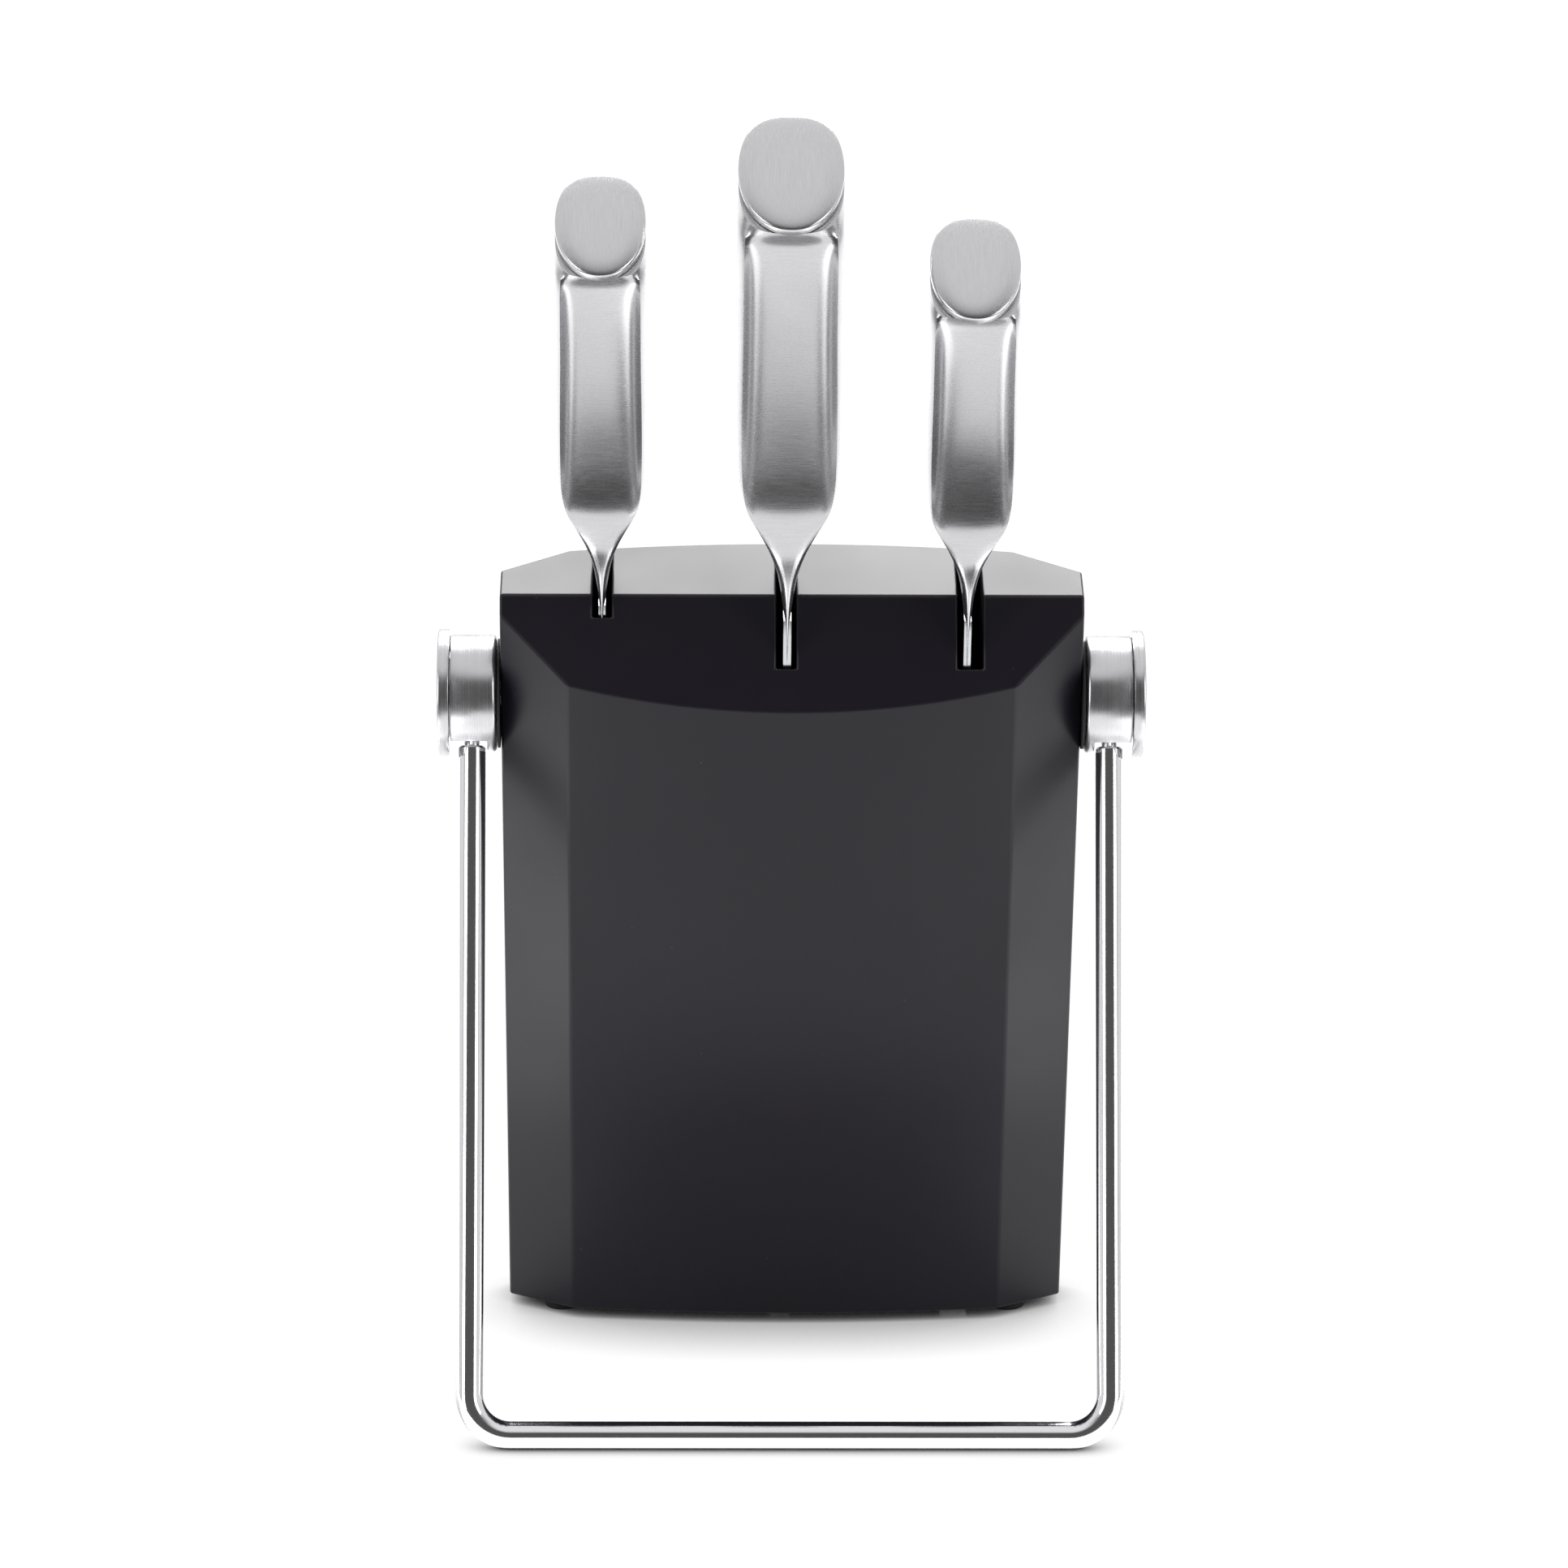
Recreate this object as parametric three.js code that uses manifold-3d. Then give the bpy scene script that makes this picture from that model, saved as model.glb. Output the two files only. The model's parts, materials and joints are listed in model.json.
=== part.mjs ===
// A leaning knife block. A black faceted block stands on rubber feet and leans towards the cook,
// held up by a bent steel rod that swings on a pivot at each side. Three steel knives drop into slots
// that run right through the block. Millimetres, +Z up, the cook stands on the -Y side.

import * as THREE from "three";
import Module from "manifold-3d";
import { mergeVertices } from "three/addons/utils/BufferGeometryUtils.js";

const wasm = await Module();
wasm.setup();

// ---- driving dimensions ----
const DEG = Math.PI / 180;
const GAP = 0.3; // between pieces that touch on the real object

const BLOCK_LEAN = 15 * DEG; // top of the block towards the cook
const STAND_LEAN = 20 * DEG; // foot of the rod towards the cook
const PIVOT_TO_BAR = 189; // pivot axis to the middle of the rod's foot bar
const ROD_RADIUS = 3.5;
const PIVOT_HEIGHT = PIVOT_TO_BAR * Math.cos(STAND_LEAN) + ROD_RADIUS;

const block = {
  halfWidth: 74,
  sideFlat: 7.8, // half depth of the flat side face
  bevelWidth: 17.2, // corner bevel, across
  bevelDepth: 10.7, // corner bevel, front to back
  bulge: 4, // how far the front and back faces swell
  top: 31.6, // pivot axis to the top face, along the block
  ridge: 4.8, // where the top face meets the slope, forward of the pivot axis
  slope: 53.5 * DEG, // the sloping front of the top, from the top face
  footGap: 3, // height of the feet
};
const frontCorner = block.sideFlat + block.bevelDepth;
const halfDepth = frontCorner + block.bulge;

const foot = { radius: 4.5, across: 60, along: 8 };

const pivot = {
  insertRadius: 4.3,
  insertLength: 14,
  boltRadius: 2.4,
  shoulderRadius: 2.9,
  headRadius: 5,
  headHeight: 1.8,
  washerRadius: 14,
  washerThickness: 0.6,
  housingRadius: 15,
  housingBore: 11.5,
  flangeThickness: 2.5,
  housingLength: 11.6,
  windowFrom: -14 * DEG, // the window that the rod swings in, from the block's own downward line
  windowTo: 65 * DEG,
  capRadius: 16.4,
  capThickness: 3,
  capSpigot: 1.4,
  hubRadius: 11,
  hubLength: 7,
  bushRadius: 3.9,
  pinRadius: 1.2,
  pinOrbit: 8, // stop pin to the pivot axis
  pinDepth: 1.6, // groove in the hub that the pin runs in
  swing: 32 * DEG, // how far the rod folds back
};
const seat = block.halfWidth + GAP; // inner side of the washer
const housingStart = seat + pivot.washerThickness + GAP;
const hubStart = housingStart + pivot.flangeThickness + GAP;
const housingEnd = housingStart + pivot.housingLength;
const rodAcross = hubStart + ROD_RADIUS; // middle of each arm, from the middle of the block
const bendRadius = 10.5;
const PIN_ANGLE = 180 * DEG; // the stop pin is straight above the axis, out of the rod's way

// Each knife: where its slot is, and the sizes of its blade and handle. "above" is how far the back of
// the handle's end stands over the top face, "spine" is the front end of the slot, forward of the pivot
// axis, and "offset" is how far the knife stands from the middle of its slot.
const SLOT_SHIFT = -1.5;
const SLOT_PITCH = 46.6;
const knives = [
  { name: "utility", across: -1, offset: 0, spine: 8.1, slotWidth: 4.8, slotDepth: 24.6,
    handleWidth: 22.8, handleDepth: 25, above: 106.8, bladeLength: 135, bladeWidth: 22, thickness: 1.8 },
  { name: "cooks", across: 0, offset: 0.2, spine: 15.8, slotWidth: 5, slotDepth: 33.8,
    handleWidth: 26.4, handleDepth: 28.6, above: 125, bladeLength: 200, bladeWidth: 32, thickness: 2 },
  { name: "paring", across: 1, offset: -0.9, spine: 15.8, slotWidth: 6.4, slotDepth: 33.8,
    handleWidth: 22.8, handleDepth: 25, above: 99.2, bladeLength: 95, bladeWidth: 20, thickness: 1.8 },
];
const SPINE_PLAY = 0.4; // blade's spine to the front end of its slot

// ---- materials ----
const finish = (color, roughness, metalness) =>
  new THREE.MeshStandardMaterial({ color, roughness, metalness });
const blackLacquer = finish(0x2b292e, 0.4, 0);
const brushedSteel = finish(0xc8c8ca, 0.35, 1);
const polishedSteel = finish(0xdcdcde, 0.12, 1);
const bladeSteel = finish(0xc4c6c8, 0.25, 1);
const rubber = finish(0x1c1c1c, 0.9, 0);
const nylon = finish(0xe6e2d6, 0.6, 0);
const brass = finish(0xb08d4a, 0.35, 1);

// ---- solids ----
function solid(geometry) {
  const bare = geometry.index ? geometry.toNonIndexed() : geometry.clone();
  bare.deleteAttribute("normal");
  bare.deleteAttribute("uv");
  const merged = mergeVertices(bare, 1e-4);
  return new wasm.Manifold(
    new wasm.Mesh({
      numProp: 3,
      vertProperties: new Float32Array(merged.attributes.position.array),
      triVerts: new Uint32Array(merged.index.array),
    }),
  );
}

// The finished mesh of one piece. A left-hand piece is the mirror image of what was made.
function piece(name, made, material, side = 1) {
  const mesh = made.getMesh();
  const geometry = new THREE.BufferGeometry();
  geometry.setAttribute("position", new THREE.BufferAttribute(mesh.vertProperties, mesh.numProp));
  geometry.setIndex(new THREE.BufferAttribute(mesh.triVerts, 1));
  if (side < 0) mirrorAcross(geometry);
  geometry.computeVertexNormals();
  const shown = new THREE.Mesh(geometry, material);
  shown.name = name;
  return shown;
}

function mirrorAcross(geometry) {
  geometry.scale(-1, 1, 1);
  const corners = geometry.index.array;
  for (let at = 0; at < corners.length; at += 3) {
    [corners[at], corners[at + 1]] = [corners[at + 1], corners[at]];
  }
}

function boxBetween(low, high) {
  const size = high.map((value, axis) => value - low[axis]);
  const middle = high.map((value, axis) => (value + low[axis]) / 2);
  return new THREE.BoxGeometry(...size).translate(...middle);
}

// A turned piece on the X axis. The profile is [radius, x] pairs that run outwards at the low end, along
// the outside and back in at the high end. It starts and ends on the axis, or closes on itself.
function turned(profile, segments = 32) {
  const points = profile.map(([radius, along]) => new THREE.Vector2(radius, along));
  return new THREE.LatheGeometry(points, segments).rotateZ(-Math.PI / 2);
}

function turnedSolid(profile, segments) {
  return solid(turned(profile, segments));
}

function rod(radius, from, to, segments = 32) {
  return turnedSolid([[0, from], [radius, from], [radius, to], [0, to]], segments);
}

function tube(inner, outer, from, to, segments = 32) {
  return turnedSolid([[inner, from], [outer, from], [outer, to], [inner, to], [inner, from]], segments);
}

// A skin through rings of points, all with the same count, closed by a flat fan at each end.
function loft(rings) {
  const count = rings[0].length;
  const corners = rings.flat();
  const faces = [];
  for (let ring = 0; ring < rings.length - 1; ring++) {
    for (let step = 0; step < count; step++) {
      const next = (step + 1) % count;
      const [a, b] = [ring * count + step, ring * count + next];
      faces.push([a, b, b + count], [a, b + count, a + count]);
    }
  }
  const cap = (ring, order) => {
    const middle = corners.length;
    const total = rings[ring].reduce((sum, point) => sum.add(point), new THREE.Vector3());
    corners.push(total.divideScalar(count));
    for (let step = 0; step < count; step++) {
      const pair = [ring * count + step, ring * count + ((step + 1) % count)];
      faces.push([middle, pair[order], pair[1 - order]]);
    }
  };
  cap(0, 1);
  cap(rings.length - 1, 0);
  const geometry = new THREE.BufferGeometry();
  geometry.setAttribute("position", new THREE.Float32BufferAttribute(corners.flatMap((p) => p.toArray()), 3));
  geometry.setIndex(faces.flat());
  return solid(geometry);
}

// ---- the block ----
function blockOutline() {
  const { halfWidth, sideFlat, bevelWidth, bulge } = block;
  const flatEdge = halfWidth - bevelWidth;
  const swell = (flatEdge ** 2 + bulge ** 2) / (2 * bulge); // radius of the front face
  const sweep = Math.asin(flatEdge / swell);
  const outline = new THREE.Shape();
  outline.moveTo(halfWidth, -sideFlat);
  outline.lineTo(halfWidth, sideFlat);
  outline.absarc(0, halfDepth - swell, swell, Math.PI / 2 - sweep, Math.PI / 2 + sweep, false);
  outline.lineTo(-halfWidth, sideFlat);
  outline.lineTo(-halfWidth, -sideFlat);
  outline.absarc(0, swell - halfDepth, swell, -Math.PI / 2 - sweep, -Math.PI / 2 + sweep, false);
  return outline;
}

// In the block's own frame: z runs up the block from the pivot axis, and y runs away from the cook.
function makeBlock() {
  const reach = 260;
  const bar = new THREE.ExtrudeGeometry(blockOutline(), { depth: reach, bevelEnabled: false, curveSegments: 20 });
  let body = solid(bar.translate(0, 0, block.top - reach));

  const slope = new THREE.BoxGeometry(reach, reach, reach).translate(0, -reach / 2, reach / 2);
  slope.rotateX(block.slope).translate(0, -block.ridge, block.top);
  body = body.subtract(solid(slope));

  const table = new THREE.BoxGeometry(reach, reach, reach).translate(0, 0, block.footGap - reach / 2);
  table.translate(0, 0, -PIVOT_HEIGHT).rotateX(-BLOCK_LEAN);
  body = body.subtract(solid(table));

  for (const knife of knives) {
    const middle = slotMiddle(knife);
    const low = [middle - knife.slotWidth / 2, -knife.spine, -reach];
    const high = [middle + knife.slotWidth / 2, knife.slotDepth - knife.spine, reach];
    body = body.subtract(solid(boxBetween(low, high)));
  }
  for (const side of [-1, 1]) {
    const mouth = side * (block.halfWidth + 1);
    const end = side * (block.halfWidth - pivot.insertLength - GAP);
    const radius = pivot.insertRadius + GAP;
    body = body.subtract(rod(radius, Math.min(mouth, end), Math.max(mouth, end), 24));
  }
  return piece("block_body", body, blackLacquer);
}

function slotMiddle(knife) {
  return SLOT_SHIFT + knife.across * SLOT_PITCH;
}

// Four rubber feet on the level underside, in the world's frame but placed from the pivot axis.
function makeFeet() {
  const feet = new THREE.Group();
  const underside = block.footGap - PIVOT_HEIGHT;
  const middle = -underside * Math.tan(BLOCK_LEAN);
  for (const [side, sideName] of [[-1, "left"], [1, "right"]]) {
    for (const [row, rowName] of [[-1, "front"], [1, "rear"]]) {
      const disc = new THREE.CylinderGeometry(foot.radius, foot.radius, block.footGap - GAP, 24);
      disc.rotateX(Math.PI / 2).translate(0, 0, (block.footGap - GAP) / 2 - PIVOT_HEIGHT);
      const made = piece(`foot_${rowName}_${sideName}`, solid(disc), rubber);
      made.position.set(side * foot.across, middle + row * foot.along, 0);
      feet.add(made);
    }
  }
  return feet;
}

// ---- the pivot at each side, made for the right and mirrored for the left ----
function arcGroove(inner, outer, from, to) {
  const shape = new THREE.Shape();
  shape.absarc(0, 0, outer, from, to, false);
  shape.absarc(0, 0, inner, to, from, true);
  return shape;
}

// A sector of a tube about the X axis. Angles run from straight down towards the cook.
function sector(inner, outer, fromAngle, toAngle, fromX, toX) {
  const shape = arcGroove(inner, outer, fromAngle, toAngle);
  const cut = new THREE.ExtrudeGeometry(shape, { depth: toX - fromX, bevelEnabled: false, curveSegments: 16 });
  // shape x becomes straight down and shape y becomes towards the cook
  const down = new THREE.Vector3(0, 0, -1);
  const forward = new THREE.Vector3(0, -1, 0);
  cut.applyMatrix4(new THREE.Matrix4().makeBasis(down, forward, down.clone().cross(forward)));
  const along = down.clone().cross(forward).x;
  cut.translate(along > 0 ? fromX : toX, 0, 0);
  return solid(cut);
}

function makeInsert(side, sideName) {
  const { insertRadius, insertLength, boltRadius } = pivot;
  const end = block.halfWidth - 0.2;
  const made = tube(boltRadius + GAP, insertRadius, end - insertLength, end, 24);
  return piece(`threaded_insert_${sideName}`, made, brass, side);
}

function makeWasher(side, sideName) {
  const made = tube(pivot.shoulderRadius + GAP, pivot.washerRadius, seat, seat + pivot.washerThickness);
  return piece(`seat_washer_${sideName}`, made, rubber, side);
}

function makeHousing(side, sideName) {
  const { shoulderRadius, housingRadius, housingBore, flangeThickness, windowFrom, windowTo } = pivot;
  const wallStart = housingStart + flangeThickness;
  const chamfer = 0.5;
  let made = turnedSolid([
    [shoulderRadius + GAP, housingStart],
    [housingRadius - chamfer, housingStart],
    [housingRadius, housingStart + chamfer],
    [housingRadius, housingEnd],
    [housingBore, housingEnd],
    [housingBore, wallStart],
    [shoulderRadius + GAP, wallStart],
    [shoulderRadius + GAP, housingStart],
  ], 48);
  const inside = housingBore - 1;
  made = made.subtract(sector(inside, housingRadius + 1, windowFrom, windowTo, wallStart, housingEnd + 1));
  made = made.subtract(pinHole(pivot.pinRadius + GAP, housingStart - 1, wallStart + 1));
  return piece(`pivot_housing_${sideName}`, made, brushedSteel, side);
}

function pinHole(radius, from, to) {
  const pin = turned([[0, from], [radius, from], [radius, to], [0, to]], 16);
  return solid(pin.translate(0, 0, pivot.pinOrbit));
}

function makeStopPin(side, sideName) {
  const made = pinHole(pivot.pinRadius, housingStart + 0.2, hubStart + pivot.pinDepth - GAP);
  return piece(`stop_pin_${sideName}`, made, bladeSteel, side);
}

function makeBolt(side, sideName) {
  const { boltRadius, shoulderRadius, headRadius, headHeight, insertLength, hubLength } = pivot;
  const headEnd = hubStart + hubLength - GAP;
  const headStart = headEnd - headHeight;
  const keyRadius = 1.6;
  const keyDepth = 1.1;
  const made = turnedSolid([
    [0, block.halfWidth - insertLength],
    [boltRadius, block.halfWidth - insertLength],
    [boltRadius, block.halfWidth],
    [shoulderRadius, block.halfWidth + 0.1],
    [shoulderRadius, headStart],
    [headRadius, headStart],
    [headRadius, headEnd],
    [keyRadius, headEnd],
    [keyRadius, headEnd - keyDepth],
    [0, headEnd - keyDepth],
  ], 24);
  return piece(`pivot_bolt_${sideName}`, made, bladeSteel, side);
}

function makeCap(side, sideName) {
  const { capRadius, capThickness, capSpigot, housingBore } = pivot;
  const inner = housingEnd + GAP;
  const outer = inner + capThickness;
  const chamfer = 0.6;
  const made = turnedSolid([
    [0, housingEnd - capSpigot],
    [housingBore - GAP, housingEnd - capSpigot],
    [housingBore - GAP, inner],
    [capRadius, inner],
    [capRadius, outer - chamfer],
    [capRadius - chamfer, outer],
    [0, outer],
  ], 48);
  return piece(`pivot_cap_${sideName}`, made, brushedSteel, side);
}

// The hub turns with the rod. Its frame hangs straight down along the rod's arm.
function makeHub(side, sideName) {
  const { hubRadius, hubLength, bushRadius, headRadius, headHeight, pinOrbit, pinRadius, pinDepth, swing } = pivot;
  const end = hubStart + hubLength;
  const headSeat = end - headHeight - 3 * GAP;
  let made = turnedSolid([
    [bushRadius + GAP, hubStart],
    [hubRadius, hubStart],
    [hubRadius, end],
    [headRadius + GAP, end],
    [headRadius + GAP, headSeat],
    [bushRadius + GAP, headSeat],
    [bushRadius + GAP, hubStart],
  ], 32);
  const socket = new THREE.CylinderGeometry(spigot.radius + GAP, spigot.radius + GAP, hubRadius, 20);
  socket.rotateX(Math.PI / 2).translate(rodAcross, 0, -hubRadius / 2 - spigot.end + GAP);
  made = made.subtract(solid(socket));

  // at rest the pin stands at the front end of its groove, and it runs back as the rod folds
  const room = Math.asin((pinRadius + GAP) / pinOrbit);
  const rest = PIN_ANGLE - BLOCK_LEAN - STAND_LEAN;
  const width = pinRadius + GAP;
  const groove = sector(pinOrbit - width, pinOrbit + width, rest - room, rest + swing + room,
    hubStart - 1, hubStart + pinDepth);
  return piece(`pivot_hub_${sideName}`, made.subtract(groove), bladeSteel, side);
}

function makeBush(side, sideName) {
  const { shoulderRadius, bushRadius, hubLength, headHeight } = pivot;
  const end = hubStart + hubLength - headHeight - 4 * GAP;
  const made = tube(shoulderRadius + GAP, bushRadius, hubStart, end, 24);
  return piece(`pivot_bush_${sideName}`, made, nylon, side);
}

// ---- the bent rod ----
const spigot = { radius: 2, end: 6.2 }; // thin end of each arm, and where it stops short of the axis

function rodStations() {
  const arm = PIVOT_TO_BAR - bendRadius;
  const corner = rodAcross - bendRadius;
  const turns = 8;
  const shoulder = pivot.hubRadius + GAP;
  const stations = [
    { x: -rodAcross, z: -spigot.end, turn: 0, radius: spigot.radius },
    { x: -rodAcross, z: -shoulder, turn: 0, radius: spigot.radius },
    { x: -rodAcross, z: -shoulder, turn: 0, radius: ROD_RADIUS },
  ];
  const bend = (side, from) => {
    for (let step = 0; step <= turns; step++) {
      const turn = from + (step / turns) * (Math.PI / 2);
      const x = side * corner - bendRadius * Math.cos(turn);
      stations.push({ x, z: -arm - bendRadius * Math.sin(turn), turn, radius: ROD_RADIUS });
    }
  };
  bend(-1, 0);
  bend(1, Math.PI / 2);
  stations.push(
    { x: rodAcross, z: -shoulder, turn: Math.PI, radius: ROD_RADIUS },
    { x: rodAcross, z: -shoulder, turn: Math.PI, radius: spigot.radius },
    { x: rodAcross, z: -spigot.end, turn: Math.PI, radius: spigot.radius },
  );
  return stations;
}

function makeRod() {
  const sides = 16;
  const rings = rodStations().map(({ x, z, turn, radius }) => {
    const outward = new THREE.Vector3(-Math.cos(turn), 0, -Math.sin(turn));
    const across = new THREE.Vector3(0, 1, 0);
    return Array.from({ length: sides }, (_, step) => {
      const angle = ((step + 0.5) / sides) * 2 * Math.PI;
      const offset = outward.clone().multiplyScalar(radius * Math.cos(angle));
      return offset.addScaledVector(across, radius * Math.sin(angle)).add(new THREE.Vector3(x, 0, z));
    });
  });
  return piece("stand_rod", loft(rings), polishedSteel);
}

// ---- the knives, each in its own frame: z up the handle from the block's top face, and y from the
// spine to the edge ----

// Smooth curve through [position, value] pairs.
function curveThrough(pairs) {
  const interpolant = new THREE.CubicInterpolant(
    new Float32Array(pairs.map((pair) => pair[0])), new Float32Array(pairs.map((pair) => pair[1])), 1);
  const [first, last] = [pairs[0][0], pairs[pairs.length - 1][0]];
  return (at) => interpolant.evaluate(Math.min(Math.max(at, first), last - 1e-4))[0];
}

const HANDLE_WIDTH_DRAWN = 26.4; // the curves of the neck are drawn for this handle width
const neck = { bottom: -16, weld: 26 }; // the forged bolster runs between these heights

function handleCurves(knife) {
  const { handleWidth, handleDepth, above, thickness, bladeWidth } = knife;
  const half = handleWidth / 2;
  const blade = thickness / 2;
  const scale = handleWidth / HANDLE_WIDTH_DRAWN;
  const throat = knife.slotWidth / 2 - Math.abs(knife.offset) - 0.4; // what the slot's mouth leaves
  return {
    half: curveThrough([
      [neck.bottom, blade], [-8, blade + 0.1], [-2, Math.min(throat, 1.3)], [0.5, Math.min(throat, 1.6)],
      [4 * scale, half * 0.15], [8 * scale, half * 0.2], [12 * scale, half * 0.27], [16 * scale, half * 0.375],
      [20.6 * scale, half * 0.53], [25.5 * scale, half * 0.71], [30 * scale, half * 0.89],
      [36 * scale, half * 0.98], [44 * scale, half * 1.03],
      [above * 0.52, half], [above * 0.8, half], [above + 10, half * 0.98],
    ]),
    front: curveThrough([
      [neck.bottom, 0], [0, 0], [18, -0.8], [above * 0.4, 0.2], [above * 0.62, 0.8],
      [above * 0.74, 0.3], [above * 0.86, -1.5], [above + 10, -3],
    ]),
    back: curveThrough([
      [neck.bottom, bladeWidth - 1.5], [0, bladeWidth - 2], [14, handleDepth * 0.9],
      [neck.weld, handleDepth * 0.84], [above * 0.5, handleDepth * 0.93], [above * 0.8, handleDepth * 0.85],
      [above + 10, handleDepth * 0.92],
    ]),
    channel: curveThrough([
      [neck.bottom, 0], [8, 0], [20, 1], [above * 0.4, 1.8], [above * 0.75, 1.8],
      [above * 0.84, 0.6], [above + 10, 0],
    ]),
    squareness: curveThrough([
      [neck.bottom, 0.62], [0, 0.62], [neck.weld, 0.74], [above * 0.6, 0.7], [above * 0.85, 0.84],
      [above + 10, 0.86],
    ]),
  };
}

// One ring of the handle: a rounded box with a shallow channel down the spine side.
function handleRing(curves, height, wall = 0) {
  const steps = 24;
  const squareness = curves.squareness(height);
  const half = Math.max(curves.half(height) - wall, 0.3);
  const front = curves.front(height) + wall;
  const back = curves.back(height) - wall;
  const channel = curves.channel(height);
  return Array.from({ length: steps }, (_, step) => {
    const angle = (step / steps) * 2 * Math.PI;
    const spread = Math.sign(Math.cos(angle)) * Math.abs(Math.cos(angle)) ** squareness;
    const depth = Math.sign(Math.sin(angle)) * Math.abs(Math.sin(angle)) ** squareness;
    const dish = depth < 0 ? channel * Math.max(0, 1 - (spread / 0.85) ** 2) * Math.abs(depth) : 0;
    return new THREE.Vector3(half * spread, (front + back) / 2 + ((back - front) / 2) * depth + dish, height);
  });
}

function handleLoft(curves, heights, wall) {
  return loft(heights.map((height) => handleRing(curves, height, wall)));
}

function spread(from, to, count) {
  return Array.from({ length: count + 1 }, (_, step) => from + ((to - from) * step) / count);
}

const capPlate = 2.2; // thickness of the plate that closes the handle

// Everything above the slanting end of the handle, raised by lift along the slope's own normal.
const buttSlant = 31 * DEG;
function aboveButt(knife, lift) {
  const reach = 120;
  const half = new THREE.BoxGeometry(reach, reach, reach).translate(0, 0, reach / 2 + lift - capPlate);
  half.rotateX(buttSlant).translate(0, knife.handleDepth * 0.9, knife.above);
  return solid(half);
}

function weldHeight(knife) {
  return (neck.weld * knife.handleWidth) / HANDLE_WIDTH_DRAWN;
}

function makeHandle(knife, curves) {
  const wall = 1.3;
  const heights = spread(weldHeight(knife) + GAP, knife.above + 8, 12);
  const outside = handleLoft(curves, heights, 0);
  const inside = handleLoft(curves, spread(weldHeight(knife) - 1, knife.above + 9, 12), wall);
  const made = outside.subtract(inside).subtract(aboveButt(knife, -GAP));
  return piece(`${knife.name}_handle_shell`, made, brushedSteel);
}

function makeButtCap(knife, curves) {
  const heights = spread(knife.above * 0.5, knife.above + 8, 8);
  const made = handleLoft(curves, heights, 0).intersect(aboveButt(knife, 0)).subtract(aboveButt(knife, capPlate));
  return piece(`${knife.name}_butt_cap`, made, brushedSteel);
}

// The blade narrows to the tip: the spine drops a little and the edge curves up to meet it.
function bladeRing(knife, share) {
  const { bladeLength, bladeWidth, thickness } = knife;
  const height = -4 - bladeLength * share;
  const drop = bladeWidth * 0.3 * Math.max(0, (share - 0.6) / 0.4) ** 2;
  const edge = bladeWidth * (1 - 0.68 * Math.max(0, (share - 0.35) / 0.65) ** 2.4);
  const half = (thickness / 2) * (1 - 0.6 * share ** 2);
  const grind = drop + (edge - drop) * 0.3;
  return [
    new THREE.Vector3(-half, drop, height), new THREE.Vector3(-half, grind, height),
    new THREE.Vector3(-0.15, Math.max(edge, grind + 0.3), height),
    new THREE.Vector3(0.15, Math.max(edge, grind + 0.3), height),
    new THREE.Vector3(half, grind, height), new THREE.Vector3(half, drop, height),
  ];
}

function makeBlade(knife, curves) {
  const rings = spread(0.05, 0.995, 18).map((share) => bladeRing(knife, share));
  const flat = loft(rings);
  const weld = weldHeight(knife);
  const heights = [-16, -12, -8, -5, -2, 0, 2, ...spread(4, weld, 12)];
  const bolster = handleLoft(curves, heights, 0);
  const middle = knife.handleDepth / 2;
  const tang = solid(boxBetween([-2, middle - 5, weld - 2], [2, middle + 5, knife.above * 0.55]));
  const made = flat.add(bolster).add(tang);
  return piece(`${knife.name}_blade`, made, bladeSteel);
}

function makeKnife(knife) {
  const curves = handleCurves(knife);
  const group = new THREE.Group();
  group.add(makeBlade(knife, curves), makeHandle(knife, curves), makeButtCap(knife, curves));
  group.position.set(slotMiddle(knife) + knife.offset, SPINE_PLAY - knife.spine, block.top);
  return group;
}

// ---- assembly ----
const leaning = new THREE.Group(); // all that leans with the block
leaning.rotation.x = BLOCK_LEAN;
leaning.add(makeBlock());
const stand = new THREE.Group(); // all that swings with the rod
stand.rotation.x = -STAND_LEAN;
stand.add(makeRod());
for (const [side, sideName] of [[-1, "left"], [1, "right"]]) {
  leaning.add(makeInsert(side, sideName), makeWasher(side, sideName), makeHousing(side, sideName));
  leaning.add(makeStopPin(side, sideName), makeBolt(side, sideName), makeCap(side, sideName));
  stand.add(makeHub(side, sideName), makeBush(side, sideName));
}
for (const knife of knives) leaning.add(makeKnife(knife));

const knifeBlock = new THREE.Group();
const base = new THREE.Group(); // everything placed from the pivot axis
base.add(leaning, stand, makeFeet());
knifeBlock.add(base);

// The origin lies on the table, in the middle of the outline seen from above.
base.position.z = PIVOT_HEIGHT;
const outline = new THREE.Box3().setFromObject(knifeBlock, true);
base.position.y = -(outline.min.y + outline.max.y) / 2;

export default knifeBlock;
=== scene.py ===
import json
import math

import bmesh
import bpy
from mathutils import Matrix, Vector


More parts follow.
